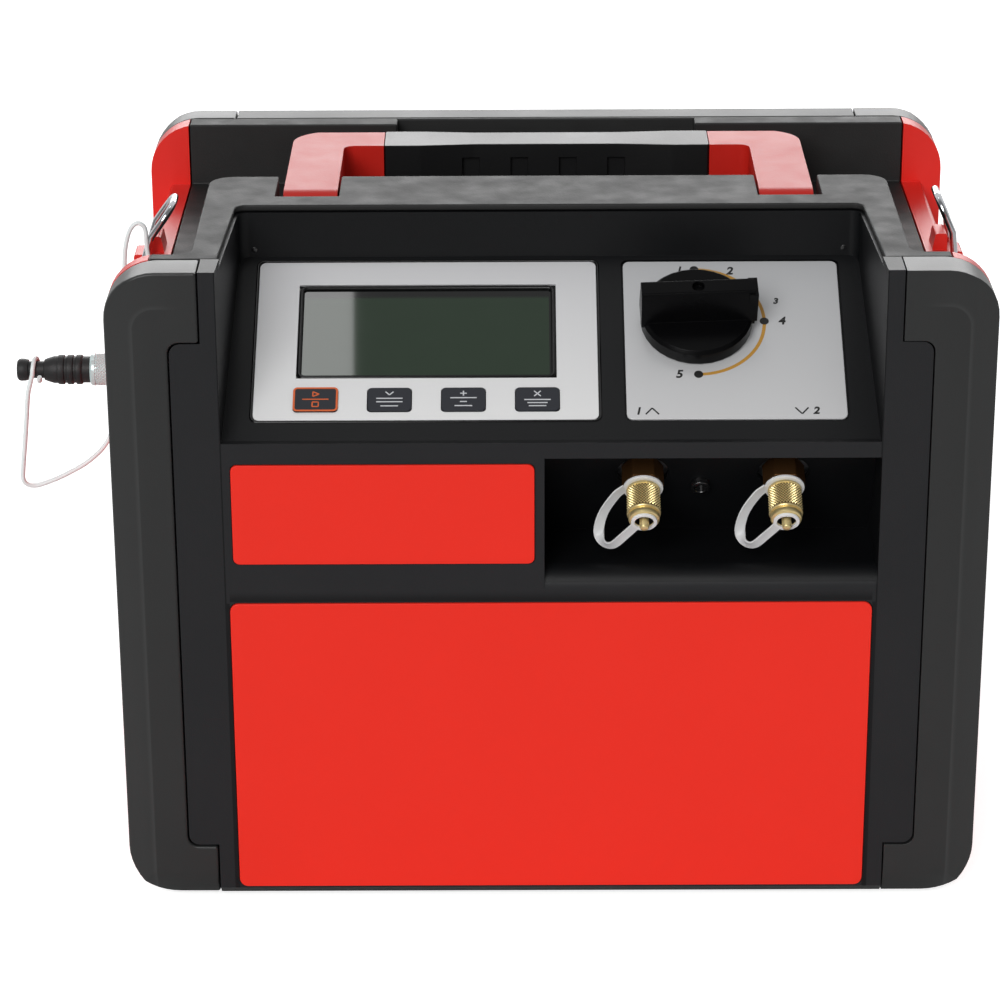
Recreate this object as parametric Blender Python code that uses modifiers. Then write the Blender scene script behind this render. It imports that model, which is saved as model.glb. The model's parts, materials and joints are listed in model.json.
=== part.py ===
"""Refrigerant recovery machine, modelled piece by piece at its real size in metres.

Body coordinates: x to the right, depth from the front face to the back, height from the
underside of the housing. An empty named machine carries them into world space, where the
rubber feet stand on z = 0 and the origin is under the middle of the body.
"""
import math

import bmesh
import bpy
from mathutils import Matrix, Vector

# Body envelope
BODY_WIDTH = 0.400
BODY_DEPTH = 0.264
BODY_HEIGHT = 0.312
FOOT_HEIGHT = 0.003
CORNER_RADIUS = 0.024
WALL = 0.003
GAP = 0.0003
SEAM = 0.0006
HALF_WIDTH = BODY_WIDTH / 2

# Front and rear frames
GUARD_DEPTH = 0.020
REAR_GUARD_DEPTH = 0.0157
GUARD_WIDTH = 0.043
GUARD_SEAM_X = HALF_WIDTH - GUARD_WIDTH
GUARD_WAIST = 0.029
FASCIA_WIDE_X = HALF_WIDTH - GUARD_WAIST
SEAM_STEP_LOW = 0.027
SEAM_STEP_DROP = 0.033
SEAM_STEP_HIGH = BODY_HEIGHT - SEAM_STEP_DROP
SEAM_STEP_RADIUS = 0.005
GUARD_WALL = 0.0045
CHAMFER_WIDTH = 0.013
CHAMFER_DEPTH = 0.006
CHAMFER_DROP = 0.022
CHAMFER_TOP = BODY_HEIGHT - CHAMFER_DROP
FASCIA_SETBACK = 0.001
FASCIA_CHAMFER_HEIGHT = 0.0046
PANEL_SEAT = 0.0015
PANEL_THICKNESS = 0.0020

# Middle housing and side shells
CENTRE_INSET = 0.020
CENTRE_HALF_WIDTH = HALF_WIDTH - CENTRE_INSET
SHOULDER_DROP = 0.031
SHOULDER_HEIGHT = BODY_HEIGHT - SHOULDER_DROP
WAIST_INSET = 0.0095
WAIST_HALF_WIDTH = HALF_WIDTH - WAIST_INSET
WAIST_EDGE_RADIUS = 0.002
RIM_END = 0.028
REAR_FLANGE_LENGTH = 0.028
REAR_FLANGE_START = BODY_DEPTH - REAR_FLANGE_LENGTH
HUMP_INSET = 0.018
HUMP_HALF_WIDTH = CENTRE_HALF_WIDTH - HUMP_INSET
HUMP_CORNER_RADIUS = 0.011
BAND_FILLET_RADIUS = 0.006
VENT_COUNT = 8
VENT_PITCH = 0.011
VENT_WIDTH = 0.0045
VENT_FIRST_DEPTH = 0.082
VENT_LOW = 0.045
VENT_HIGH = 0.125

# Console
PANEL_SLOPE = math.radians(31.0)
PANEL_FRONT_DEPTH = 0.005
PANEL_FRONT_DROP = 0.0815
PANEL_FRONT_HEIGHT = BODY_HEIGHT - PANEL_FRONT_DROP
CONSOLE_REAR = 0.099
CONSOLE_SIDE_WALL = 0.0128
CONSOLE_FRONT_HALF = HUMP_HALF_WIDTH - CONSOLE_SIDE_WALL
CONSOLE_TAPER = 0.0037
CONSOLE_REAR_HALF = CONSOLE_FRONT_HALF - CONSOLE_TAPER
CONSOLE_CORNER_RADIUS = 0.005
CONSOLE_LEDGE = 0.0013
TRAY_TOP = BODY_HEIGHT - WALL - GAP
PLATE_THICKNESS = 0.0012
PLATE_GROOVE = 0.0009
PLATE_RADIUS = 0.003
PLATE_LOW = 0.0118
PLATE_HIGH = 0.1060
DISPLAY_SIDE_GAP = 0.0137
DISPLAY_LEFT = DISPLAY_SIDE_GAP - CONSOLE_FRONT_HALF
DISPLAY_RIGHT = 0.0219
VALVE_LEFT = 0.0346
VALVE_SIDE_GAP = 0.0142
VALVE_RIGHT = CONSOLE_FRONT_HALF - VALVE_SIDE_GAP
LCD_MARGIN = 0.0189
LCD_LEFT = DISPLAY_LEFT + LCD_MARGIN
LCD_RIGHT = DISPLAY_RIGHT - LCD_MARGIN
LCD_LOW = 0.0362
LCD_HIGH = 0.0923
LCD_OVERLAP = 0.0020
LCD_THICKNESS = 0.0012
LCD_MODULE_THICKNESS = 0.0062
BOARD_THICKNESS = 0.0016
KEY_COUNT = 4
KEY_MARGIN_LEFT = 0.0283
KEY_MARGIN_RIGHT = 0.02785
KEY_FIRST_X = DISPLAY_LEFT + KEY_MARGIN_LEFT
KEY_PITCH = (DISPLAY_RIGHT - KEY_MARGIN_RIGHT - KEY_FIRST_X) / (KEY_COUNT - 1)
KEY_WIDTH = 0.0206
KEY_LENGTH = 0.0140
KEY_RADIUS = 0.0020
KEY_PROUD = 0.0008
KEY_TRAVEL = 0.0005
KEY_PLACE = 0.0234
KEY_FLANGE = 0.0012
KEY_BORDER = 0.0012

# Selector knob and valve
KNOB_FROM_LEFT = 0.0334
KNOB_X = VALVE_LEFT + KNOB_FROM_LEFT
KNOB_PLACE = 0.0693
KNOB_RADIUS = 0.0260
KNOB_LIFT = 0.0006
KNOB_SKIRT = 0.0083
KNOB_TOP = 0.0251
KNOB_TURN = math.radians(2.4)
KNOB_BAR_HALF_LENGTH = 0.0262
KNOB_BAR_BASE_HALF = 0.0070
KNOB_BAR_TOP_HALF = 0.0041
KNOB_BAR_RADIUS = 0.0012
KNOB_POINTER_LENGTH = 0.0013
KNOB_POINTER_HALF = 0.0055
KNOB_POINTER_TOP = 0.0235
KNOB_DIMPLE_RADIUS = 0.0029
KNOB_DIMPLE_DEPTH = 0.0030
STEM_RADIUS = 0.004
STEM_TOP = 0.0170
STEM_HOLE_RADIUS = 0.0055

# Ports
PORT_LIP = 0.0075
PORT_RECESS_TOP = PANEL_FRONT_HEIGHT - PORT_LIP
PORT_RECESS_TALL = 0.055
PORT_RECESS_LOW = PORT_RECESS_TOP - PORT_RECESS_TALL
PORT_LEDGE_TALL = 0.011
PORT_LEDGE_FRONT = PORT_RECESS_LOW - PORT_LEDGE_TALL
PORT_LEDGE_RADIUS = 0.010
PORT_RECESS_LEFT = -0.003
PORT_RECESS_RIGHT = CONSOLE_FRONT_HALF + GAP
PORT_WALL_DEPTH = 0.018
PORT_AXIS_DROP = 0.018
PORT_AXIS_HEIGHT = PORT_RECESS_TOP - PORT_AXIS_DROP
PORT_MARGIN_LEFT = 0.0455
PORT_MARGIN_RIGHT = 0.0421
PORT_X = (PORT_RECESS_LEFT + PORT_MARGIN_LEFT, PORT_RECESS_RIGHT - PORT_MARGIN_RIGHT)
PORT_NAMES = ("inlet", "outlet")
PORT_HOLE_RADIUS = 0.012
HEX_ACROSS = 0.017
HEX_SIDES = 6
HEX_LENGTH = 0.012
HEX_SUNK = 0.004
THREAD_RADIUS = 0.0055
THREAD_LENGTH = 0.013
CAP_RADIUS = 0.0078
CAP_LENGTH = 0.0175
CAP_BORE = 0.0060
CAP_PIN_RADIUS = 0.0018
CAP_PIN_LENGTH = 0.0050
STRAP_RING_RADIUS = 0.0092
STRAP_RING_THICKNESS = 0.0012
STRAP_RADIUS = 0.0012
BOSS_SHARE = 0.4083
BOSS_RADIUS = 0.005
MANIFOLD_SIDE = 0.014
MANIFOLD_LEFT = PORT_X[0] - MANIFOLD_SIDE
MANIFOLD_RIGHT = PORT_X[1] + MANIFOLD_SIDE
MANIFOLD_LOW = 0.0140
MANIFOLD_HIGH = 0.0940
MANIFOLD_TOP = -0.0200
MANIFOLD_BOTTOM = -0.0500

# Front plates
PANEL_SIDE_GAP = 0.0017
FRONT_PANEL_HALF = CONSOLE_FRONT_HALF - PANEL_SIDE_GAP
FRONT_PANEL_LOW = 0.0056
FRONT_PANEL_DROP = 0.005
FRONT_PANEL_HIGH = PORT_LEDGE_FRONT - FRONT_PANEL_DROP
FRONT_PANEL_RADIUS = 0.004
LABEL_INSET = 0.0023
LABEL_LEFT = LABEL_INSET - FRONT_PANEL_HALF
LABEL_RIGHT = -0.0075
LABEL_DROP = 0.0102
LABEL_HIGH = PANEL_FRONT_HEIGHT - LABEL_DROP
LABEL_TALL = 0.0486
LABEL_LOW = LABEL_HIGH - LABEL_TALL
LABEL_RADIUS = 0.003

# Carrying handle
HANDLE_SIDE_GAP = 0.0363
HANDLE_OUTER = HUMP_HALF_WIDTH - HANDLE_SIDE_GAP
HANDLE_ARM_WIDTH = 0.0257
HANDLE_INNER = HANDLE_OUTER - HANDLE_ARM_WIDTH
HANDLE_FROM_CONSOLE = 0.0172
HANDLE_FRONT = CONSOLE_REAR + HANDLE_FROM_CONSOLE
HANDLE_FROM_BACK = 0.040
HANDLE_REAR = BODY_DEPTH - HANDLE_FROM_BACK
HANDLE_BAR_WIDTH = 0.025
HANDLE_BAR_FRONT = HANDLE_REAR - HANDLE_BAR_WIDTH
HANDLE_THICKNESS = 0.022
HANDLE_TIP_ROUNDNESS = 0.99
HANDLE_CORNER_RADIUS = 0.018
HANDLE_INNER_RADIUS = 0.005
HANDLE_TOP_DROP = 0.0003
GRIP_SHOULDER = 0.0198
GRIP_HALF = HANDLE_INNER - GRIP_SHOULDER
GRIP_WAIST_INSET = 0.0022
GRIP_END_LENGTH = 0.0177
GRIP_WAIST_EASE = 0.0265
GRIP_WAIST_RADIUS = 0.020
GRIP_END_RADIUS = 0.001
GRIP_CORE_INSET = 0.0065
HANDLE_PIN_RADIUS = 0.003
HANDLE_PIN_REACH = 0.0025
NOTCH_CLEARANCE_IN = 0.0010
NOTCH_CLEARANCE_OUT = 0.0035
NOTCH_FLOOR_DROP = 0.0275
NOTCH_FRONT_CLEARANCE = 0.0012
HUMP_BEHIND_HANDLE = 0.0308
HUMP_REAR = HANDLE_FRONT + HUMP_BEHIND_HANDLE
FINGER_NOTCH_INSET = 0.0052
FINGER_NOTCH_HALF = GRIP_HALF - FINGER_NOTCH_INSET
FINGER_NOTCH_HEIGHT = 0.022
FINGER_NOTCH_DEPTH = 0.0095

# Strap rings and their lugs
RING_WIRE_RADIUS = 0.0017
RING_DEPTH = BODY_DEPTH / 2
RING_HALF_LENGTH = 0.0130
RING_HEIGHT = 0.0335
RING_CORNER = 0.009
RING_BEND_START = 0.0160
RING_BEND = math.radians(18.0)
RING_OUTSIDE_WAIST = 0.0033
RING_AXIS_X = WAIST_HALF_WIDTH + RING_OUTSIDE_WAIST
RING_AXIS_DROP = 0.0055
RING_AXIS_HEIGHT = SHOULDER_HEIGHT - RING_AXIS_DROP
RING_LEAN = {-1: math.radians(18.0), 1: math.radians(6.0)}
RING_SIDES = {-1: "left", 1: "right"}
LUG_HALF_LENGTH = 0.0075
LUG_WALL = 0.0028
LUG_SEAT = 0.0035
LUG_INNER_X = CENTRE_HALF_WIDTH + LUG_SEAT
LUG_STEP_X = WAIST_HALF_WIDTH
LUG_RISE = 0.008
LUG_TOP = SHOULDER_HEIGHT + LUG_RISE

# Plug on the left side and its tether
SOCKET_DEPTH = 0.080
SOCKET_DROP = 0.074
SOCKET_HEIGHT = BODY_HEIGHT - SOCKET_DROP
SOCKET_FLANGE_RADIUS = 0.009
SOCKET_FLANGE_LENGTH = 0.0022
SOCKET_NECK_RADIUS = 0.0055
SOCKET_NECK_LENGTH = 0.0065
SOCKET_HOLE_RADIUS = 0.0065
SOCKET_FLANGE_X = WAIST_HALF_WIDTH + GAP
SOCKET_NECK_X = SOCKET_FLANGE_X + SOCKET_FLANGE_LENGTH
SOCKET_END_X = SOCKET_NECK_X + SOCKET_NECK_LENGTH
NUT_CLEARANCE = 0.0015
NUT_LENGTH = 0.0213
NUT_START_X = SOCKET_NECK_X + NUT_CLEARANCE
NUT_END_X = NUT_START_X + NUT_LENGTH
NUT_RADIUS = 0.0076
NUT_LIP_RADIUS = 0.0052
NUT_LIP = 0.002
PLUG_REACH = 0.0345
PLUG_END_X = NUT_END_X + PLUG_REACH
PLUG_BODY_RADIUS = 0.0070
PLUG_NECK_RADIUS = 0.0040
PLUG_FLARE_RADIUS = 0.0053
PLUG_SHOULDER_RADIUS = 0.0050
PLUG_FLARE_LENGTH = 0.0055
PLUG_NECK_LENGTH = 0.0070
PLUG_TAPER_LENGTH = 0.0068
TETHER_RADIUS = 0.0011
TETHER_EYE_TO_LUG = 0.0215
TETHER_EYE_DEPTH = RING_DEPTH - LUG_HALF_LENGTH - TETHER_EYE_TO_LUG

# Compressor, motor, fan and condenser
SHAFT_X = -0.035
SHAFT_HEIGHT = 0.095
CRANKCASE_HALF = 0.034
PEDESTAL_HALF = 0.027
CRANKCASE_FRONT = 0.050
CRANKCASE_REAR = 0.116
ROD_DEPTH = 0.081
CRANK_CHAMBER_RADIUS = 0.027
CRANK_THROW = 0.003
CRANK_PIN_RADIUS = 0.009
SHAFT_RADIUS = 0.006
ROD_WIDTH = 0.0080
ROD_BAR_HALF = 0.0032
CYLINDER_BORE = 0.022
CYLINDER_RADIUS = 0.030
CYLINDER_LENGTH = 0.040
CYLINDER_HEAD = 0.010
CYLINDER_FINS = 3
PISTON_PLACE = 0.018
PISTON_LENGTH = 0.006
BEARING_RADIUS = 0.013
BEARING_LENGTH = 0.008
CONDENSER_HALF = 0.078
CONDENSER_FROM_BACK = 0.024
CONDENSER_THICKNESS = 0.032
CONDENSER_REAR = BODY_DEPTH - CONDENSER_FROM_BACK
CONDENSER_FRONT = CONDENSER_REAR - CONDENSER_THICKNESS
CONDENSER_DROP = 0.132
CONDENSER_HEIGHT = BODY_HEIGHT - CONDENSER_DROP
CONDENSER_FINS = 12
FIN_GAP = 0.006
FAN_CLEARANCE = 0.006
FAN_LENGTH = 0.014
FAN_DEPTH = CONDENSER_FRONT - FAN_CLEARANCE - FAN_LENGTH
FAN_RADIUS = 0.066
FAN_HUB_RADIUS = 0.018
FAN_BLADES = 7
BLADE_ROOT = 0.0126
BLADE_HALF_WIDTH = 0.0132
BLADE_PITCH = math.radians(20.0)
MOTOR_RADIUS = 0.050
MOTOR_FOOT_HALF = 0.030
MOTOR_FRONT = CRANKCASE_REAR + GAP
MOTOR_TO_FAN = 0.008
MOTOR_REAR = FAN_DEPTH - MOTOR_TO_FAN
MOTOR_WALL = 0.003
STATOR_BORE = 0.029
ROTOR_RADIUS = 0.0282
PIPE_RADIUS = 0.0032
PIPE_SEAT = 0.0006
PIPE_BEND = 0.010
PIPE_SIDE_ROOM = 0.024
PIPE_STEPS = 4
DISCHARGE_FROM_MIDDLE = 0.0624
RETURN_HEIGHT = 0.030

# Back of the machine
GRILLE_RADIUS = 0.066
GRILLE_SLOTS = 11
GRILLE_SLOT_WIDTH = 0.006
INLET_FROM_SIDE = 0.090
INLET_X = HALF_WIDTH - INLET_FROM_SIDE
INLET_HEIGHT = 0.070
INLET_WIDTH = 0.027
INLET_TALL = 0.020
INLET_FLANGE = 0.048
BASE_THICKNESS = 0.0025
FOOT_RADIUS = 0.011
FOOT_TAPER = 0.0011
FOOT_FROM_SIDE = 0.040
FOOT_X = HALF_WIDTH - FOOT_FROM_SIDE
FOOT_INSET = 0.045

# Mesh detail
ROUND_STEPS = 32
SMALL_STEPS = 20
ARC_STEPS = 5
WIDE_ARC_STEPS = 10
WIDE_ARC_RADIUS = 0.012
GRIP_ARC_STEPS = 3
SHARP_ANGLE = math.radians(35.0)
WELD = 0.00001
TURN_WELD = 0.00005

# Colours, roughness and metallic value of each material
FINISHES = {
    "black_plastic": ((0.022, 0.023, 0.025), 0.45, 0.0),
    "red_plastic": ((0.72, 0.022, 0.016), 0.35, 0.0),
    "red_film": ((0.78, 0.020, 0.014), 0.30, 0.0),
    "silver_plate": ((0.52, 0.53, 0.55), 0.35, 0.6),
    "lcd_glass": ((0.020, 0.030, 0.026), 0.10, 0.0),
    "brass": ((0.72, 0.52, 0.20), 0.25, 1.0),
    "chrome": ((0.80, 0.80, 0.82), 0.12, 1.0),
    "clear_nylon": ((0.80, 0.82, 0.84), 0.35, 0.0),
    "rubber": ((0.020, 0.020, 0.021), 0.75, 0.0),
    "steel": ((0.50, 0.51, 0.52), 0.35, 1.0),
    "aluminium": ((0.60, 0.61, 0.62), 0.40, 1.0),
    "copper": ((0.72, 0.36, 0.22), 0.30, 1.0),
    "circuit_board": ((0.02, 0.16, 0.07), 0.50, 0.0),
    "grey_key": ((0.06, 0.065, 0.07), 0.50, 0.0),
}


def clear_scene():
    for obj in list(bpy.data.objects):
        bpy.data.objects.remove(obj, do_unlink=True)


def make_collection(name):
    group = bpy.data.collections.new(name)
    bpy.context.scene.collection.children.link(group)
    return group


def make_material(name):
    colour, roughness, metallic = FINISHES[name]
    material = bpy.data.materials.new(name)
    material.use_nodes = True
    shader = material.node_tree.nodes["Principled BSDF"]
    shader.inputs["Base Color"].default_value = (*colour, 1.0)
    shader.inputs["Roughness"].default_value = roughness
    shader.inputs["Metallic"].default_value = metallic
    material.diffuse_color = (*colour, 1.0)
    return material


clear_scene()
PARTS = make_collection("refrigerant_recovery_machine")
CUTTERS = make_collection("cutters")
MATERIALS = {key: make_material(key) for key in FINISHES}


def make_empty(name, location, rotation=(0.0, 0.0, 0.0), parent=None):
    empty = bpy.data.objects.new(name, None)
    empty.parent = parent
    empty.location = location
    empty.rotation_euler = rotation
    PARTS.objects.link(empty)
    return empty


machine = make_empty("machine", (0.0, -BODY_DEPTH / 2, FOOT_HEIGHT))
console = make_empty("console_slope", (0.0, PANEL_FRONT_DEPTH, PANEL_FRONT_HEIGHT),
                     (PANEL_SLOPE, 0.0, 0.0), machine)


def slope_point(x, along, normal):
    """Body coordinates of a point given on the console slope."""
    depth = PANEL_FRONT_DEPTH + along * math.cos(PANEL_SLOPE) - normal * math.sin(PANEL_SLOPE)
    height = PANEL_FRONT_HEIGHT + along * math.sin(PANEL_SLOPE) + normal * math.cos(PANEL_SLOPE)
    return Vector((x, depth, height))


def link_mesh(name, mesh, parent=machine):
    obj = bpy.data.objects.new(name, mesh)
    obj.parent = parent
    PARTS.objects.link(obj)
    return obj


def finish(obj, material, smooth=False):
    """Gives a part its material and, on round parts, smooth shading."""
    obj.data.materials.clear()
    obj.data.materials.append(MATERIALS[material])
    if smooth:
        obj.data.shade_smooth()
        obj.data.set_sharp_from_angle(angle=SHARP_ANGLE)
    return obj


def box(name, low, high, parent=machine):
    """A box between two corners, with its origin at its middle."""
    low = Vector(low)
    high = Vector(high)
    size = high - low
    solid = bmesh.new()
    bmesh.ops.create_cube(solid, size=1.0, matrix=Matrix.Diagonal((*size, 1.0)))
    mesh = bpy.data.meshes.new(name)
    solid.to_mesh(mesh)
    solid.free()
    obj = link_mesh(name, mesh, parent)
    obj.location = (low + high) / 2
    return obj


def rounded(corners, steps=ARC_STEPS):
    """Turns (x, y, radius) corners into an outline with arcs."""
    outline = []
    count = len(corners)
    for index, (x, y, radius) in enumerate(corners):
        here = Vector((x, y))
        if radius <= 0.0:
            outline.append(here)
            continue
        back = (Vector(corners[index - 1][:2]) - here).normalized()
        ahead = (Vector(corners[(index + 1) % count][:2]) - here).normalized()
        half = back.angle(ahead) / 2
        centre = here + (back + ahead).normalized() * (radius / math.sin(half))
        first = here + back * (radius / math.tan(half)) - centre
        last = here + ahead * (radius / math.tan(half)) - centre
        start = math.atan2(first.y, first.x)
        sweep = math.atan2(first.x * last.y - first.y * last.x, first.dot(last))
        parts = steps if radius < WIDE_ARC_RADIUS else WIDE_ARC_STEPS
        for step in range(parts + 1):
            angle = start + sweep * step / parts
            outline.append(centre + radius * Vector((math.cos(angle), math.sin(angle))))
    return outline


def rounded_rectangle(left, right, low, high, radius):
    return rounded([(left, low, radius), (right, low, radius), (right, high, radius),
                    (left, high, radius)])


def curve_to_part(name, curve, parent):
    """Makes a welded mesh object of a curve, because curves take no cuts."""
    holder = bpy.data.objects.new(name + "_curve", curve)
    PARTS.objects.link(holder)
    bpy.context.view_layer.update()
    graph = bpy.context.evaluated_depsgraph_get()
    mesh = bpy.data.meshes.new_from_object(holder.evaluated_get(graph))
    bpy.data.objects.remove(holder, do_unlink=True)
    solid = bmesh.new()
    solid.from_mesh(mesh)
    bmesh.ops.remove_doubles(solid, verts=solid.verts, dist=WELD)
    bmesh.ops.recalc_face_normals(solid, faces=solid.faces)
    solid.to_mesh(mesh)
    solid.free()
    mesh.name = name
    return link_mesh(name, mesh, parent)


# Turns an outline drawn in x and y onto the plane it is meant for
PLANE_TURN = {
    "front": Matrix(((1, 0, 0), (0, 0, -1), (0, 1, 0))),
    "plan": Matrix.Identity(3),
    "side": Matrix(((0, 0, 1), (1, 0, 0), (0, 1, 0))),
}


def plane_middle(plane, low, high):
    """Where the middle of a slab lies, on the axis that is square to its plane."""
    across = PLANE_TURN[plane].col[2]
    return Vector([abs(part) for part in across]) * (low + high) / 2


def slab(name, outline, low, high, plane, parent=machine):
    """Extrudes a flat outline from low to high.

    front takes x and height, plan x and depth, side depth and height.
    """
    curve = bpy.data.curves.new(name, "CURVE")
    curve.dimensions = "2D"
    curve.fill_mode = "BOTH"
    curve.extrude = (high - low) / 2
    spline = curve.splines.new("POLY")
    spline.points.add(len(outline) - 1)
    for point, place in zip(spline.points, outline):
        point.co = (place.x, place.y, 0.0, 1.0)
    spline.use_cyclic_u = True
    obj = curve_to_part(name, curve, parent)
    obj.rotation_euler = PLANE_TURN[plane].to_euler()
    obj.location = plane_middle(plane, low, high)
    return obj


def turned(name, profile, location, rotation=(0.0, 0.0, 0.0), parent=machine, steps=ROUND_STEPS,
           closed=False):
    """A profile of (radius, height) points, top to bottom down its outer side, turned about Z."""
    count = len(profile)
    edges = [(index, index + 1) for index in range(count - 1)]
    if closed:
        edges.append((count - 1, 0))
    mesh = bpy.data.meshes.new(name)
    mesh.from_pydata([(radius, 0.0, height) for radius, height in profile], edges, [])
    obj = link_mesh(name, mesh, parent)
    obj.location = location
    obj.rotation_euler = rotation
    screw = obj.modifiers.new("turn", "SCREW")
    screw.axis = "Z"
    screw.angle = math.tau
    screw.steps = steps
    screw.render_steps = steps
    screw.use_merge_vertices = True
    screw.merge_threshold = TURN_WELD
    return obj


def rod_shape(name, radius, low, high, location, rotation=(0.0, 0.0, 0.0), parent=machine,
              steps=ROUND_STEPS):
    profile = [(0.0, high), (radius, high), (radius, low), (0.0, low)]
    return turned(name, profile, location, rotation, parent, steps)


def ring_shape(name, outer, inner, low, high, location, rotation=(0.0, 0.0, 0.0), parent=machine,
               steps=ROUND_STEPS):
    profile = [(outer, high), (outer, low), (inner, low), (inner, high)]
    return turned(name, profile, location, rotation, parent, steps, closed=True)


def smooth_route(points, per_span):
    """Points along a smooth curve through hand-chosen points."""
    route = []
    ends = [points[0] * 2 - points[1], *points, points[-1] * 2 - points[-2]]
    for index in range(len(points) - 1):
        a, b, c, d = ends[index:index + 4]
        for step in range(per_span):
            t = step / per_span
            bend = (2 * a - 5 * b + 4 * c - d) * t * t + (3 * b - a - 3 * c + d) * t ** 3
            route.append(0.5 * (2 * b + (c - a) * t + bend))
    route.append(points[-1])
    return route


def tube(name, points, radius, parent=machine, cyclic=False):
    curve = bpy.data.curves.new(name, "CURVE")
    curve.dimensions = "3D"
    curve.bevel_depth = radius
    curve.bevel_resolution = 2
    curve.use_fill_caps = True
    spline = curve.splines.new("POLY")
    spline.points.add(len(points) - 1)
    for point, place in zip(spline.points, points):
        point.co = (*place, 1.0)
    spline.use_cyclic_u = cyclic
    return curve_to_part(name, curve, parent)


def shape_with(target, tool, operation):
    """Cuts, joins or intersects the target with a tool, which is kept among the cutters."""
    PARTS.objects.unlink(tool)
    CUTTERS.objects.link(tool)
    tool.name = f"{target.name}_tool_{len(target.modifiers)}"
    tool.hide_render = True
    tool.display_type = "WIRE"
    change = target.modifiers.new(operation.lower(), "BOOLEAN")
    change.operation = operation
    change.solver = "EXACT"
    change.object = tool
    return target


def cut(target, tool):
    return shape_with(target, tool, "DIFFERENCE")


def join(target, tool):
    return shape_with(target, tool, "UNION")


def keep_inside(target, tool):
    return shape_with(target, tool, "INTERSECT")


FACE_BACK = (-math.pi / 2, 0.0, 0.0)
FACE_FRONT = (math.pi / 2, 0.0, 0.0)
FACE_RIGHT = (0.0, math.pi / 2, 0.0)
FACE_LEFT = (0.0, -math.pi / 2, 0.0)


def guard_outline(side, inset):
    """Outline of a corner guard in x and height, seen from the front."""
    seam = GUARD_SEAM_X + SEAM / 2 + inset
    wide = FASCIA_WIDE_X + SEAM / 2 + inset
    outer = HALF_WIDTH - inset
    corners = [
        (seam, inset, 0.0), (outer, inset, CORNER_RADIUS), (outer, BODY_HEIGHT - inset, CORNER_RADIUS),
        (seam, BODY_HEIGHT - inset, 0.0), (seam, SEAM_STEP_HIGH, 0.0),
        (wide, SEAM_STEP_HIGH, SEAM_STEP_RADIUS), (wide, SEAM_STEP_LOW, SEAM_STEP_RADIUS),
        (seam, SEAM_STEP_LOW, 0.0),
    ]
    return rounded([(side * x, height, radius) for x, height, radius in corners])


def centre_outline():
    """Outline of the front and back centre mouldings, between the guards."""
    seam = GUARD_SEAM_X - SEAM / 2
    wide = FASCIA_WIDE_X - SEAM / 2
    low = SEAM_STEP_LOW + SEAM
    high = SEAM_STEP_HIGH - SEAM
    right = [(seam, 0.0, 0.0), (seam, low, 0.0), (wide, low, SEAM_STEP_RADIUS),
             (wide, high, SEAM_STEP_RADIUS), (seam, high, 0.0), (seam, BODY_HEIGHT, 0.0)]
    left = [(-x, height, radius) for x, height, radius in reversed(right)]
    return rounded(right + left)


def foot_wedge(face, direction, height):
    """Side outline of the cut that slopes a face back to the chamfer's depth at its foot."""
    foot = CHAMFER_DEPTH if direction > 0 else BODY_DEPTH - CHAMFER_DEPTH
    outside = 2 * face - foot
    return [Vector((outside, 2 * height)), Vector((2 * foot - face, -height)), Vector((outside, -height))]


def make_guard(name, side, face, inner, direction):
    """A corner guard from its outer face to the seam behind it.

    direction is 1 at the front and -1 at the back.
    """
    guard = slab(name, guard_outline(side, 0.0), min(face, inner), max(face, inner), "front")
    slope = CHAMFER_DEPTH / CHAMFER_WIDTH
    inner_x = HALF_WIDTH - 2 * CHAMFER_WIDTH
    outer_x = HALF_WIDTH + CHAMFER_WIDTH
    wedge = [
        Vector((side * inner_x, face - direction * CHAMFER_WIDTH * slope)),
        Vector((side * outer_x, face + direction * 2 * CHAMFER_WIDTH * slope)),
        Vector((side * outer_x, face - direction * CHAMFER_WIDTH * slope)),
    ]
    cut(guard, slab("side_wedge", wedge, -WALL, CHAMFER_TOP, "plan"))
    ends = sorted((side * (GUARD_SEAM_X - WALL), side * (HALF_WIDTH + WALL)))
    cut(guard, slab("foot_wedge", foot_wedge(face, direction, CHAMFER_WIDTH), ends[0], ends[1], "side"))
    pocket_x = sorted((side * (FASCIA_WIDE_X + GUARD_WALL), side * (HALF_WIDTH - GUARD_WALL)))
    pocket_depth = sorted((face + direction * (CHAMFER_DEPTH + WALL), inner + direction * WALL))
    pocket = box("pocket", (pocket_x[0], pocket_depth[0], SEAM_STEP_LOW),
                 (pocket_x[1], pocket_depth[1], SEAM_STEP_HIGH))
    cut(guard, pocket)
    return finish(guard, "black_plastic")


def make_guards():
    for side, word in ((-1, "left"), (1, "right")):
        make_guard(f"front_guard_{word}", side, 0.0, GUARD_DEPTH, 1)
        make_guard(f"rear_guard_{word}", side, BODY_DEPTH, BODY_DEPTH - REAR_GUARD_DEPTH, -1)


def console_profile(offset, top, front):
    """Side profile of the console hollow in depth and height, grown outwards by offset."""
    down = offset / math.cos(PANEL_SLOPE)
    rear = CONSOLE_REAR + offset
    rear_height = PANEL_FRONT_HEIGHT + (rear - PANEL_FRONT_DEPTH) * math.tan(PANEL_SLOPE) - down
    start = PANEL_FRONT_HEIGHT - down
    return [Vector((front, start)), Vector((PANEL_FRONT_DEPTH, start)), Vector((rear, rear_height)),
            Vector((rear, top)), Vector((front, top))]


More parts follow.
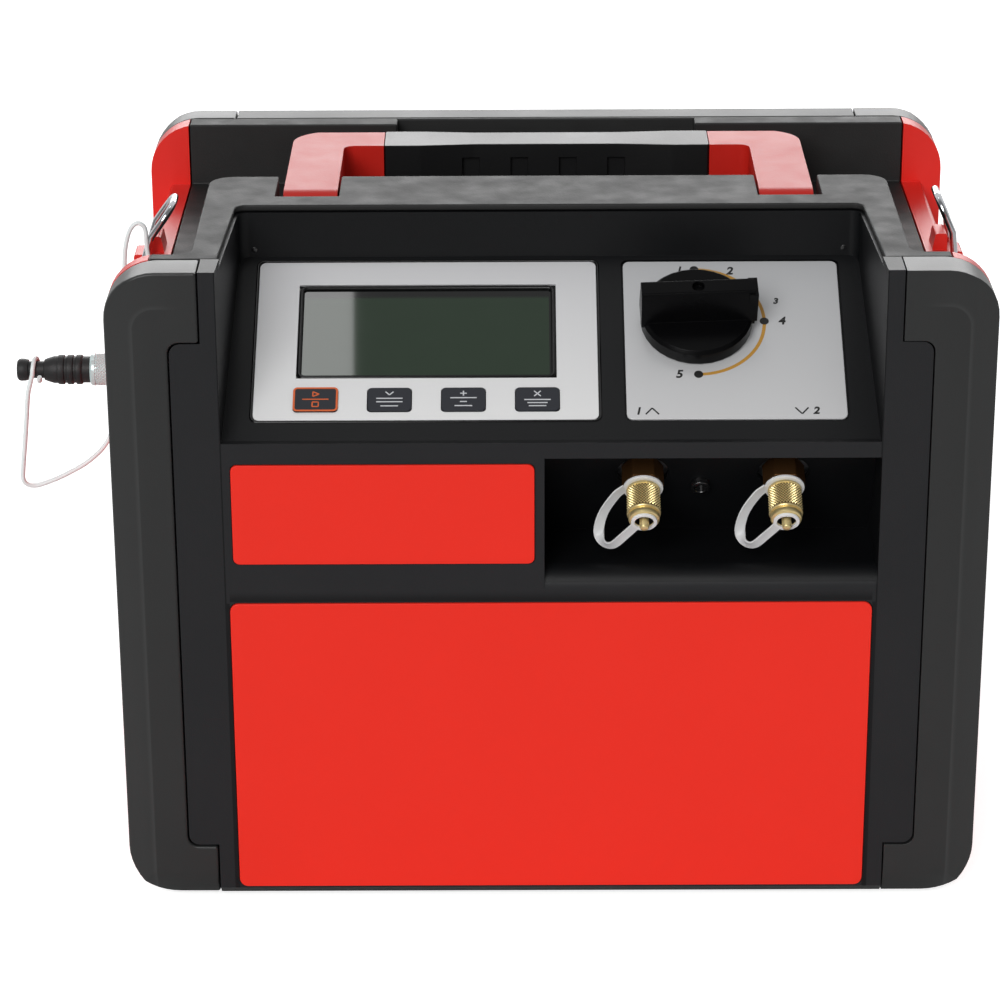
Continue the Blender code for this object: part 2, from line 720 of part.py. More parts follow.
def console_void(name, clearance, top, front):
    """The console hollow: narrower at the back than at the front, with rounded corners there."""
    void = slab(name, console_profile(clearance, top, front), -HALF_WIDTH, HALF_WIDTH, "side")
    wide = CONSOLE_FRONT_HALF + clearance
    narrow = CONSOLE_REAR_HALF + clearance
    rear = CONSOLE_REAR + clearance
    plan = rounded([(-wide, -BODY_DEPTH, 0.0), (wide, -BODY_DEPTH, 0.0), (wide, 0.0, 0.0),
                    (narrow, rear, CONSOLE_CORNER_RADIUS), (-narrow, rear, CONSOLE_CORNER_RADIUS),
                    (-wide, 0.0, 0.0)])
    return keep_inside(void, slab("console_plan", plan, 0.0, 2 * BODY_HEIGHT, "plan"))


def port_wall_depth(height):
    """Depth of the slanted port wall, which is square to the fittings."""
    return PORT_WALL_DEPTH + (PORT_RECESS_TOP - height) * math.tan(PANEL_SLOPE)


def port_recess_outline():
    """Side profile of the port recess, with its rounded front ledge."""
    corners = [
        (-WALL, PORT_RECESS_TOP, 0.0), (PORT_WALL_DEPTH, PORT_RECESS_TOP, 0.0),
        (port_wall_depth(PORT_RECESS_LOW), PORT_RECESS_LOW, 0.0),
        (FASCIA_SETBACK, PORT_RECESS_LOW, PORT_LEDGE_RADIUS), (FASCIA_SETBACK, PORT_LEDGE_FRONT, 0.0),
        (-WALL, PORT_LEDGE_FRONT, 0.0),
    ]
    return rounded(corners)


def make_front_fascia():
    fascia = slab("front_fascia", centre_outline(), FASCIA_SETBACK, GUARD_DEPTH, "front")
    front_wall = FASCIA_SETBACK + WALL
    behind = GUARD_DEPTH + WALL
    wide = FASCIA_WIDE_X - SEAM / 2 - WALL
    seam = GUARD_SEAM_X - SEAM / 2 - WALL
    hollow = box("hollow", (-wide, front_wall, SEAM_STEP_LOW + WALL + SEAM),
                 (wide, behind, SEAM_STEP_HIGH - WALL - SEAM))
    cut(fascia, hollow)
    cut(fascia, box("hollow", (-seam, front_wall, WALL), (seam, behind, BODY_HEIGHT - WALL)))
    tray_half = CONSOLE_FRONT_HALF + WALL
    tray = slab("tray", console_profile(WALL, TRAY_TOP, front_wall), -tray_half, tray_half, "side")
    join(fascia, tray)
    wall = WALL / math.cos(PANEL_SLOPE)
    port_shell = [
        Vector((front_wall, PORT_RECESS_TOP + WALL / 2)),
        Vector((PORT_WALL_DEPTH + wall, PORT_RECESS_TOP + WALL / 2)),
        Vector((port_wall_depth(PORT_RECESS_LOW - WALL) + wall, PORT_RECESS_LOW - WALL)),
        Vector((front_wall, PORT_RECESS_LOW - WALL)),
    ]
    shell = slab("port_shell", port_shell, PORT_RECESS_LEFT - WALL, PORT_RECESS_RIGHT + WALL, "side")
    join(fascia, shell)
    ledge_low = PORT_LEDGE_FRONT - WALL
    ledge = box("ledge_backing", (PORT_RECESS_LEFT - WALL, front_wall - WALL / 2, ledge_low),
                (PORT_RECESS_RIGHT + WALL, PORT_LEDGE_RADIUS + 2 * WALL, PORT_RECESS_LOW - WALL / 2))
    join(fascia, ledge)
    cut(fascia, console_void("console_void", 0.0, BODY_HEIGHT + WALL, -WALL))
    recess = slab("port_recess", port_recess_outline(), PORT_RECESS_LEFT, PORT_RECESS_RIGHT, "side")
    cut(fascia, recess)
    wedge = foot_wedge(FASCIA_SETBACK, 1, FASCIA_CHAMFER_HEIGHT)
    cut(fascia, slab("foot_wedge", wedge, -HALF_WIDTH, HALF_WIDTH, "side"))
    cut_plate_seats(fascia)
    join_manifold_boss(fascia)
    return finish(fascia, "black_plastic")


def cut_plate_seats(fascia):
    """Seats and openings for the plates, the keys, the display, the stem and the fittings."""
    seat = -PLATE_THICKNESS - GAP
    over = WALL
    for left, right in ((DISPLAY_LEFT, DISPLAY_RIGHT), (VALVE_LEFT, VALVE_RIGHT)):
        outline = rounded_rectangle(left - PLATE_GROOVE, right + PLATE_GROOVE, PLATE_LOW - PLATE_GROOVE,
                                    PLATE_HIGH + PLATE_GROOVE, PLATE_RADIUS)
        cut(fascia, slab("plate_seat", outline, seat, over, "plan", console))
    cut(fascia, box("display_opening", (LCD_LEFT - LCD_OVERLAP - GAP, LCD_LOW - LCD_OVERLAP - GAP, -2 * WALL),
                    (LCD_RIGHT + LCD_OVERLAP + GAP, LCD_HIGH + LCD_OVERLAP + GAP, over), console))
    for index in range(KEY_COUNT):
        centre = KEY_FIRST_X + index * KEY_PITCH
        half = KEY_WIDTH / 2 + GAP
        cut(fascia, box("key_opening", (centre - half, KEY_PLACE - KEY_LENGTH / 2 - GAP, -2 * WALL),
                        (centre + half, KEY_PLACE + KEY_LENGTH / 2 + GAP, over), console))
    cut(fascia, rod_shape("stem_hole", STEM_HOLE_RADIUS, -2 * WALL, over, (KNOB_X, KNOB_PLACE, 0.0),
                          parent=console, steps=SMALL_STEPS))
    for empty in port_axes:
        cut(fascia, rod_shape("port_hole", PORT_HOLE_RADIUS, -2 * WALL, 2 * WALL, (0.0, 0.0, 0.0),
                              parent=empty))
    panel = rounded_rectangle(-FRONT_PANEL_HALF - GAP, FRONT_PANEL_HALF + GAP, FRONT_PANEL_LOW - GAP,
                              FRONT_PANEL_HIGH + GAP, FRONT_PANEL_RADIUS)
    label = rounded_rectangle(LABEL_LEFT - GAP, LABEL_RIGHT + GAP, LABEL_LOW - GAP, LABEL_HIGH + GAP,
                              LABEL_RADIUS)
    for outline in (panel, label):
        cut(fascia, slab("panel_seat", outline, -WALL, FASCIA_SETBACK + PANEL_SEAT, "front"))


def join_manifold_boss(fascia):
    """The boss behind the port wall that the manifold is screwed to, between the two fittings."""
    inlet_x, outlet_x = PORT_X
    place = port_axis_point(inlet_x + BOSS_SHARE * (outlet_x - inlet_x))
    boss = rod_shape("manifold_boss", BOSS_RADIUS, port_local(MANIFOLD_LOW - GAP), -WALL / 2, place,
                     port_turn, steps=SMALL_STEPS)
    join(fascia, boss)


def port_axis_point(x):
    """Where a fitting's axis meets the slanted port wall, in body coordinates."""
    return Vector((x, port_wall_depth(PORT_AXIS_HEIGHT), PORT_AXIS_HEIGHT))


def port_local(along):
    """Height on a fitting's own axis of a place given along the console slope."""
    wall = port_axis_point(0.0)
    start = (wall.y - PANEL_FRONT_DEPTH) * math.cos(PANEL_SLOPE)
    start += (wall.z - PANEL_FRONT_HEIGHT) * math.sin(PANEL_SLOPE)
    return start - along


port_turn = (math.pi / 2 + PANEL_SLOPE, 0.0, 0.0)
port_axes = [make_empty(f"{name}_axis", port_axis_point(x), port_turn, machine)
             for name, x in zip(PORT_NAMES, PORT_X)]


def make_front_plates():
    back = FASCIA_SETBACK + PANEL_SEAT - GAP
    face = back - PANEL_THICKNESS
    panel = rounded_rectangle(-FRONT_PANEL_HALF, FRONT_PANEL_HALF, FRONT_PANEL_LOW, FRONT_PANEL_HIGH,
                              FRONT_PANEL_RADIUS)
    finish(slab("front_panel", panel, face, back, "front"), "red_film")
    label = rounded_rectangle(LABEL_LEFT, LABEL_RIGHT, LABEL_LOW, LABEL_HIGH, LABEL_RADIUS)
    finish(slab("label_plate", label, face, back, "front"), "red_film")


def housing_plan():
    """Plan outline of the raised part of the main housing: front band and hump."""
    band = CENTRE_HALF_WIDTH - GAP
    right = [(band, GUARD_DEPTH + GAP, 0.0), (band, RIM_END, 0.0),
             (HUMP_HALF_WIDTH, RIM_END, BAND_FILLET_RADIUS), (HUMP_HALF_WIDTH, HUMP_REAR, HUMP_CORNER_RADIUS)]
    left = [(-x, depth, radius) for x, depth, radius in reversed(right)]
    return rounded(right + left)


def make_main_housing():
    half = CENTRE_HALF_WIDTH - GAP
    front = GUARD_DEPTH + GAP
    rear = BODY_DEPTH - REAR_GUARD_DEPTH - GAP
    floor = BASE_THICKNESS + GAP
    inner = half - WALL
    housing = box("main_housing", (-half, front, floor), (half, rear, SHOULDER_HEIGHT))
    join(housing, slab("hump", housing_plan(), SHOULDER_HEIGHT - WALL, BODY_HEIGHT, "plan"))
    join(housing, box("rear_band", (-half, REAR_FLANGE_START, SHOULDER_HEIGHT - WALL),
                      (half, rear, BODY_HEIGHT)))
    cut(housing, box("inside", (-inner, front - WALL, -WALL),
                     (inner, rear + WALL, SHOULDER_HEIGHT - WALL)))
    top = BODY_HEIGHT - WALL
    under = SHOULDER_HEIGHT - 2 * WALL
    hump_inner = HUMP_HALF_WIDTH - WALL
    rib_rear = HANDLE_FRONT - NOTCH_FRONT_CLEARANCE - WALL
    cut(housing, box("hump_inside", (-hump_inner, front - WALL, under), (hump_inner, rib_rear, top)))
    cut(housing, box("band_inside", (-inner, front - WALL, under), (inner, RIM_END - WALL, top)))
    between = HUMP_HALF_WIDTH - HUMP_CORNER_RADIUS
    middle = HANDLE_INNER - NOTCH_CLEARANCE_IN - HANDLE_PIN_REACH - WALL
    outside = HANDLE_OUTER + NOTCH_CLEARANCE_OUT + HANDLE_PIN_REACH + WALL
    bay_rear = HUMP_REAR - WALL
    cut(housing, box("rib_bay", (-middle, rib_rear - WALL, under), (middle, bay_rear, top)))
    for side in (-1, 1):
        bay = sorted((side * outside, side * between))
        cut(housing, box("rib_bay", (bay[0], rib_rear - WALL, under), (bay[1], bay_rear, top)))
        bay = sorted((side * (FINGER_NOTCH_HALF + WALL), side * inner))
        cut(housing, box("rear_band_inside", (bay[0], REAR_FLANGE_START + WALL, under),
                         (bay[1], rear + WALL, top)))
    notch_floor = BODY_HEIGHT - FINGER_NOTCH_HEIGHT
    cut(housing, box("finger_notch", (-FINGER_NOTCH_HALF, REAR_FLANGE_START - WALL, notch_floor),
                     (FINGER_NOTCH_HALF, REAR_FLANGE_START + FINGER_NOTCH_DEPTH, BODY_HEIGHT + WALL)))
    cut(housing, console_void("console_opening", CONSOLE_LEDGE, BODY_HEIGHT + WALL, 0.0))
    for side in (-1, 1):
        cut_handle_notch(housing, side)
        window_x = sorted((side * (inner - WALL), side * (half + WALL)))
        cut(housing, box("vent_window", (window_x[0], VENT_FIRST_DEPTH - VENT_WIDTH, VENT_LOW),
                         (window_x[1], VENT_FIRST_DEPTH + VENT_COUNT * VENT_PITCH, VENT_HIGH)))
    return finish(housing, "black_plastic")


HANDLE_TOP = BODY_HEIGHT - HANDLE_TOP_DROP
HANDLE_PIVOT_DEPTH = HANDLE_FRONT + HANDLE_THICKNESS / 2
HANDLE_PIVOT_HEIGHT = HANDLE_TOP - HANDLE_THICKNESS / 2


def cut_handle_notch(housing, side):
    """The notch a handle arm turns in, with the holes of its hinge pin."""
    inner = HANDLE_INNER - NOTCH_CLEARANCE_IN
    outer = HANDLE_OUTER + NOTCH_CLEARANCE_OUT
    ends = sorted((side * inner, side * outer))
    notch_front = HANDLE_FRONT - NOTCH_FRONT_CLEARANCE
    cut(housing, box("handle_notch", (ends[0], notch_front, BODY_HEIGHT - NOTCH_FLOOR_DROP),
                     (ends[1], HUMP_REAR + WALL, BODY_HEIGHT + WALL)))
    ends = sorted((side * (inner - HANDLE_PIN_REACH - GAP), side * (outer + HANDLE_PIN_REACH + GAP)))
    cut(housing, rod_shape("pin_hole", HANDLE_PIN_RADIUS + GAP, ends[0], ends[1],
                           (0.0, HANDLE_PIVOT_DEPTH, HANDLE_PIVOT_HEIGHT), FACE_RIGHT, steps=SMALL_STEPS))


def make_handle():
    pivot_place = (0.0, HANDLE_PIVOT_DEPTH, HANDLE_PIVOT_HEIGHT)
    pivot = make_empty("handle_pivot", pivot_place, parent=machine)
    reach = HANDLE_REAR - HANDLE_PIVOT_DEPTH
    bar = HANDLE_BAR_FRONT - HANDLE_PIVOT_DEPTH
    tip = -HANDLE_THICKNESS / 2
    half_thick = HANDLE_THICKNESS / 2
    grip_end = GRIP_HALF + GAP
    right = [(HANDLE_OUTER, tip, 0.0), (HANDLE_OUTER, reach, HANDLE_CORNER_RADIUS)]
    left = [(-x, depth, radius) for x, depth, radius in reversed(right)]
    inside = [(-HANDLE_INNER, tip, 0.0), (-HANDLE_INNER, bar, HANDLE_INNER_RADIUS),
              (HANDLE_INNER, bar, HANDLE_INNER_RADIUS), (HANDLE_INNER, tip, 0.0)]
    frame = slab("handle_frame", rounded(right + left + inside), -half_thick, half_thick, "plan", pivot)
    tip_radius = half_thick * HANDLE_TIP_ROUNDNESS
    side_outline = [(tip, -half_thick, tip_radius), (reach, -half_thick, WALL / 2),
                    (reach, half_thick, WALL / 2), (tip, half_thick, tip_radius)]
    ends = (-HANDLE_OUTER - WALL, HANDLE_OUTER + WALL)
    keep_inside(frame, slab("side_form", rounded(side_outline), *ends, "side", pivot))
    core = GRIP_CORE_INSET
    for low, high in ((-half_thick - WALL, -half_thick + core), (half_thick - core, half_thick + WALL)):
        cut(frame, box("grip_seat", (-grip_end, bar - WALL, low), (grip_end, reach + WALL, high), pivot))
    for low, high in ((bar - WALL, bar + core), (reach - core, reach + WALL)):
        cut(frame, box("grip_seat", (-grip_end, low, -half_thick - WALL),
                       (grip_end, high, half_thick + WALL), pivot))
    cut(frame, rod_shape("pin_bore", HANDLE_PIN_RADIUS + GAP, *ends, (0.0, 0.0, 0.0), FACE_RIGHT, pivot,
                         SMALL_STEPS))
    finish(frame, "red_plastic")
    make_grip(pivot, bar, reach, half_thick)
    for side, word in ((-1, "left"), (1, "right")):
        ends = sorted((side * (HANDLE_INNER - NOTCH_CLEARANCE_IN - HANDLE_PIN_REACH),
                       side * (HANDLE_OUTER + NOTCH_CLEARANCE_OUT + HANDLE_PIN_REACH)))
        pin = rod_shape(f"handle_pin_{word}", HANDLE_PIN_RADIUS, ends[0], ends[1],
                        (0.0, HANDLE_PIVOT_DEPTH, HANDLE_PIVOT_HEIGHT), FACE_RIGHT, steps=SMALL_STEPS)
        finish(pin, "steel", smooth=True)


def make_grip(pivot, bar, reach, half_thick):
    """The rubber grip, with a tunnel for the handle's core and a slight waist."""
    start = GRIP_HALF - GRIP_END_LENGTH
    ease = start - GRIP_WAIST_EASE
    near = [(-GRIP_HALF, 0.0, GRIP_END_RADIUS), (-start, 0.0, GRIP_WAIST_RADIUS),
            (-ease, GRIP_WAIST_INSET, GRIP_WAIST_RADIUS), (ease, GRIP_WAIST_INSET, GRIP_WAIST_RADIUS),
            (start, 0.0, GRIP_WAIST_RADIUS), (GRIP_HALF, 0.0, GRIP_END_RADIUS)]
    outline = [(x, bar + inset, radius) for x, inset, radius in near]
    outline += [(x, reach - inset, radius) for x, inset, radius in reversed(near)]
    grip = slab("handle_grip", rounded(outline, GRIP_ARC_STEPS), -half_thick, half_thick, "plan", pivot)
    core = GRIP_CORE_INSET - GAP
    cut(grip, box("core_tunnel", (-GRIP_HALF - WALL, bar + core, -half_thick + core),
                  (GRIP_HALF + WALL, reach - core, half_thick - core), pivot))
    finish(grip, "rubber")


def body_outline():
    """The rounded front outline that every frame and shell keeps inside."""
    return rounded_rectangle(-HALF_WIDTH, HALF_WIDTH, 0.0, BODY_HEIGHT, CORNER_RADIUS)


def keep_inside_body(obj):
    return keep_inside(obj, slab("body_outline", body_outline(), 0.0, BODY_DEPTH, "front"))


def shell_section(side, half, height, radius=0.0):
    """Section of a side shell in x and height, outside the centre housing."""
    inner = CENTRE_HALF_WIDTH + GAP
    floor = BASE_THICKNESS + GAP
    corners = [(inner, floor, 0.0), (half, floor, 0.0), (half, height, radius), (inner, height, 0.0)]
    return rounded([(side * x, level, bend) for x, level, bend in corners])


def make_side_shell(side, word):
    front = GUARD_DEPTH + GAP
    rear = BODY_DEPTH - REAR_GUARD_DEPTH - GAP
    floor = BASE_THICKNESS + GAP
    shell = slab(f"{word}_side_shell", shell_section(side, HALF_WIDTH, BODY_HEIGHT), front, RIM_END, "front")
    join(shell, slab("waist", shell_section(side, WAIST_HALF_WIDTH, SHOULDER_HEIGHT, WAIST_EDGE_RADIUS),
                     front, rear, "front"))
    join(shell, slab("rear_flange", shell_section(side, HALF_WIDTH, BODY_HEIGHT), REAR_FLANGE_START, rear,
                     "front"))
    keep_inside_body(shell)
    join_ring_lug(shell, side)
    ends = sorted((side * (CENTRE_HALF_WIDTH - WALL), side * (WAIST_HALF_WIDTH - WALL)))
    cut(shell, box("shell_inside", (ends[0], front + WALL, floor + WALL),
                   (ends[1], rear - WALL, SHOULDER_HEIGHT - WALL)))
    ends = sorted((side * (CENTRE_HALF_WIDTH - WALL), side * (HALF_WIDTH + WALL)))
    for index in range(VENT_COUNT):
        depth = VENT_FIRST_DEPTH + index * VENT_PITCH
        cut(shell, box("vent", (ends[0], depth, VENT_LOW + WALL),
                       (ends[1], depth + VENT_WIDTH, VENT_HIGH - WALL)))
    if side < 0:
        cut(shell, rod_shape("socket_hole", SOCKET_HOLE_RADIUS, ends[0], ends[1],
                             (0.0, SOCKET_DEPTH, SOCKET_HEIGHT), FACE_RIGHT, steps=SMALL_STEPS))
    return finish(shell, "red_plastic")


def join_ring_lug(shell, side):
    """The lug that the strap ring turns in; the left shell also has the tether's eye."""
    outer = RING_AXIS_X + RING_WIRE_RADIUS + LUG_WALL
    low = RING_AXIS_HEIGHT - RING_WIRE_RADIUS - LUG_WALL
    high = RING_AXIS_HEIGHT + RING_WIRE_RADIUS + LUG_WALL
    section = [(LUG_INNER_X, low, 0.0), (outer, low, LUG_WALL / 2), (outer, high, LUG_WALL / 2),
               (LUG_STEP_X, high, 0.0), (LUG_STEP_X, LUG_TOP, LUG_WALL / 2),
               (LUG_INNER_X + LUG_WALL / 2, LUG_TOP, LUG_WALL / 2), (LUG_INNER_X, SHOULDER_HEIGHT, 0.0)]
    join(shell, slab("ring_lug", rounded([(side * x, level, bend) for x, level, bend in section]),
                     RING_DEPTH - LUG_HALF_LENGTH, RING_DEPTH + LUG_HALF_LENGTH, "front"))
    cut(shell, rod_shape("ring_bore", RING_WIRE_RADIUS + GAP, -LUG_HALF_LENGTH - WALL, LUG_HALF_LENGTH + WALL,
                         (side * RING_AXIS_X, RING_DEPTH, RING_AXIS_HEIGHT), FACE_BACK, steps=SMALL_STEPS))
    if side < 0:
        eye_low = RING_AXIS_HEIGHT - 2 * WALL
        join(shell, box("tether_eye", (-RING_AXIS_X, TETHER_EYE_DEPTH - WALL, eye_low),
                        (-WAIST_HALF_WIDTH + WALL, TETHER_EYE_DEPTH + WALL, SHOULDER_HEIGHT - WALL)))


def make_strap_ring(side, word):
    """A wire ring with rounded corners, bent inwards halfway up and leaning over the shoulder."""
    turn = (0.0, -side * RING_LEAN[side], 0.0)
    place = (side * RING_AXIS_X, RING_DEPTH, RING_AXIS_HEIGHT)
    pivot = make_empty(f"strap_ring_{word}_axis", place, turn, machine)
    half = RING_HALF_LENGTH
    small = 2 * RING_WIRE_RADIUS
    outline = rounded([(-half, 0.0, small), (half, 0.0, small), (half, RING_BEND_START, 0.0),
                       (half, RING_HEIGHT, RING_CORNER), (-half, RING_HEIGHT, RING_CORNER),
                       (-half, RING_BEND_START, 0.0)])
    points = []
    for place in outline:
        beyond = max(place.y - RING_BEND_START, 0.0)
        points.append(Vector((-side * beyond * math.sin(RING_BEND), place.x,
                              min(place.y, RING_BEND_START) + beyond * math.cos(RING_BEND))))
    ring = tube(f"strap_ring_{word}", points, RING_WIRE_RADIUS, pivot, cyclic=True)
    return finish(ring, "chrome", smooth=True)


def make_display():
    plate_low = -PLATE_THICKNESS
    outline = rounded_rectangle(DISPLAY_LEFT, DISPLAY_RIGHT, PLATE_LOW, PLATE_HIGH, PLATE_RADIUS)
    bezel = slab("display_bezel", outline, plate_low, 0.0, "plan", console)
    cut(bezel, box("lcd_opening", (LCD_LEFT, LCD_LOW, plate_low - WALL), (LCD_RIGHT, LCD_HIGH, WALL),
                   console))
    for index in range(KEY_COUNT):
        centre = KEY_FIRST_X + index * KEY_PITCH
        opening = rounded_rectangle(centre - KEY_WIDTH / 2, centre + KEY_WIDTH / 2,
                                    KEY_PLACE - KEY_LENGTH / 2, KEY_PLACE + KEY_LENGTH / 2, KEY_RADIUS)
        cut(bezel, slab("key_opening", opening, plate_low - WALL, WALL, "plan", console))
        make_key(f"key_{index + 1}", centre)
    finish(bezel, "silver_plate")
    pane_top = plate_low - GAP
    pane_low = pane_top - LCD_THICKNESS
    reach = LCD_OVERLAP
    pane = box("lcd_window", (LCD_LEFT - reach, LCD_LOW - reach, pane_low),
               (LCD_RIGHT + reach, LCD_HIGH + reach, pane_top), console)
    finish(pane, "lcd_glass")
    module_top = -WALL - GAP
    module_low = module_top - LCD_MODULE_THICKNESS
    module = box("lcd_module", (LCD_LEFT - reach - WALL, LCD_LOW - reach - GAP, module_low),
                 (LCD_RIGHT + reach + WALL, LCD_HIGH + reach + WALL, module_top), console)
    join(module, box("glass_seat", (LCD_LEFT, LCD_LOW, module_top - WALL),
                     (LCD_RIGHT, LCD_HIGH, pane_low - GAP), console))
    finish(module, "grey_key")
    board_top = module_low - GAP
    key_low = KEY_PLACE - KEY_LENGTH / 2
    key_high = KEY_PLACE + KEY_LENGTH / 2
    first_left = KEY_FIRST_X - KEY_WIDTH / 2
    last_right = KEY_FIRST_X + (KEY_COUNT - 1) * KEY_PITCH + KEY_WIDTH / 2
    board = box("control_board", (first_left - 2 * WALL, key_low - WALL, board_top - BOARD_THICKNESS),
                (last_right + WALL, LCD_HIGH + WALL, board_top), console)
    switch_top = -WALL - GAP - KEY_FLANGE - KEY_TRAVEL - GAP
    join(board, box("key_switches", (first_left, key_low, board_top - GAP),
                    (last_right, key_high, switch_top), console))
    finish(board, "circuit_board")


def make_key(name, centre):
    """A key that stands a little proud of the bezel, with a flange that keeps it in."""
    half = KEY_WIDTH / 2 - GAP
    length = KEY_LENGTH / 2 - GAP
    flange_top = -WALL - GAP
    outline = rounded_rectangle(-half, half, -length, length, KEY_RADIUS)
    key = slab(name, outline, flange_top - KEY_FLANGE, KEY_PROUD, "plan", console)
    key.location.x = centre
    key.location.y = KEY_PLACE
    reach_x = half + KEY_BORDER
    reach_y = length + KEY_BORDER
    join(key, box("key_flange", (centre - reach_x, KEY_PLACE - reach_y, flange_top - KEY_FLANGE),
                  (centre + reach_x, KEY_PLACE + reach_y, flange_top), console))
    return finish(key, "grey_key")


def make_knob():
    """The selector knob: a round skirt with a tapered bar across it, a pointer tab and a dimple on top."""
    axis = make_empty("selector_knob_axis", (KNOB_X, KNOB_PLACE, 0.0), (0.0, 0.0, KNOB_TURN), console)
    centre = (0.0, 0.0, 0.0)
    skirt = [(0.0, KNOB_SKIRT), (KNOB_RADIUS - WALL / 2, KNOB_SKIRT), (KNOB_RADIUS, KNOB_SKIRT - WALL / 2),
             (KNOB_RADIUS, KNOB_LIFT), (0.0, KNOB_LIFT)]
    knob = turned("selector_knob", skirt, centre, parent=axis)
    foot = KNOB_SKIRT - WALL
    section = rounded([(-KNOB_BAR_BASE_HALF, foot, 0.0), (KNOB_BAR_BASE_HALF, foot, 0.0),
                       (KNOB_BAR_BASE_HALF, KNOB_SKIRT, 0.0), (KNOB_BAR_TOP_HALF, KNOB_TOP, KNOB_BAR_RADIUS),
                       (-KNOB_BAR_TOP_HALF, KNOB_TOP, KNOB_BAR_RADIUS),
                       (-KNOB_BAR_BASE_HALF, KNOB_SKIRT, 0.0)])
    end = KNOB_BAR_HALF_LENGTH
    join(knob, slab("knob_bar", section, -end, end, "side", axis))
    join(knob, box("knob_pointer", (end - WALL, -KNOB_POINTER_HALF, KNOB_SKIRT - WALL),
                   (end + KNOB_POINTER_LENGTH, KNOB_POINTER_HALF, KNOB_POINTER_TOP), axis))
    cut(knob, rod_shape("knob_dimple", KNOB_DIMPLE_RADIUS, KNOB_TOP - KNOB_DIMPLE_DEPTH, KNOB_TOP + WALL,
                        centre, parent=axis, steps=SMALL_STEPS))
    cut(knob, rod_shape("stem_socket", STEM_RADIUS + GAP, -WALL, STEM_TOP + GAP, centre, parent=axis,
                        steps=SMALL_STEPS))
    finish(knob, "black_plastic")


def make_valve():
    outline = rounded_rectangle(VALVE_LEFT, VALVE_RIGHT, PLATE_LOW, PLATE_HIGH, PLATE_RADIUS)
    plate = slab("valve_plate", outline, -PLATE_THICKNESS, 0.0, "plan", console)
    place = (KNOB_X, KNOB_PLACE, 0.0)
    cut(plate, rod_shape("stem_hole", STEM_HOLE_RADIUS, -WALL, WALL, place, parent=console,
                         steps=SMALL_STEPS))
    finish(plate, "silver_plate")
    make_knob()
    stem_low = MANIFOLD_TOP - 4 * WALL
    stem = rod_shape("valve_stem", STEM_RADIUS, stem_low, STEM_TOP, place, parent=console,
                     steps=SMALL_STEPS)
    finish(stem, "steel", smooth=True)
    manifold = box("valve_manifold", (MANIFOLD_LEFT, MANIFOLD_LOW, MANIFOLD_BOTTOM),
                   (MANIFOLD_RIGHT, MANIFOLD_HIGH, MANIFOLD_TOP), console)
    cut(manifold, rod_shape("stem_bore", STEM_RADIUS + GAP, stem_low - GAP, MANIFOLD_TOP + WALL, place,
                            parent=console, steps=SMALL_STEPS))
    finish(manifold, "aluminium")


def make_port(name, axis):
    """Brass fitting, its knurled cap and the strap that keeps the cap."""
    hex_top = HEX_LENGTH - HEX_SUNK
    shank_end = port_local(MANIFOLD_LOW - GAP)
    thread_end = hex_top + THREAD_LENGTH
    thread = [(0.0, thread_end), (THREAD_RADIUS - WALL / 4, thread_end),
              (THREAD_RADIUS, thread_end - WALL / 4), (THREAD_RADIUS, hex_top - WALL), (0.0, hex_top - WALL)]
    centre = (0.0, 0.0, 0.0)
    fitting = turned(f"{name}_fitting", thread, centre, parent=axis, steps=SMALL_STEPS)
    join(fitting, rod_shape("hex", HEX_ACROSS / math.sqrt(3), -HEX_SUNK, hex_top, centre, parent=axis,
                            steps=HEX_SIDES))
    join(fitting, rod_shape("shank", THREAD_RADIUS, shank_end, -HEX_SUNK + WALL / 2, centre, parent=axis,
                            steps=SMALL_STEPS))
    finish(fitting, "brass")
    ring_top = hex_top + GAP + STRAP_RING_THICKNESS
    cap_low = ring_top + GAP
    cap_top = cap_low + CAP_LENGTH
    bore_top = thread_end + GAP
    edge = WALL / 4
    cap = turned(f"{name}_cap", [
        (0.0, cap_top + CAP_PIN_LENGTH), (CAP_PIN_RADIUS, cap_top + CAP_PIN_LENGTH),
        (CAP_PIN_RADIUS, cap_top),
        (CAP_RADIUS - WALL, cap_top), (CAP_RADIUS - edge, cap_top - edge), (CAP_RADIUS, cap_top - 2 * edge),
        (CAP_RADIUS, cap_low + edge), (CAP_RADIUS - edge, cap_low), (CAP_BORE, cap_low), (CAP_BORE, bore_top),
        (0.0, bore_top)], centre, parent=axis, steps=ROUND_STEPS)
    finish(cap, "brass", smooth=True)
    make_cap_strap(name, axis, hex_top, cap_top)


# Loop of a cap strap in millimetres beside a fitting: x, y and height on its axis
CAP_STRAP_LOOP = ((-8.4, 0.0, 0.6), (-12.5, -3.0, 3.0), (-17.0, -8.5, 9.0), (-18.5, -13.0, 16.0),
                  (-16.0, -15.5, 21.5), (-10.5, -13.0, 23.5), (-6.0, -7.5, 21.5), (-3.2, -1.2, 18.9))
CAP_STRAP_STEPS = 3
CAP_STRAP_THINNING = 0.98
MILLIMETRE = 0.001


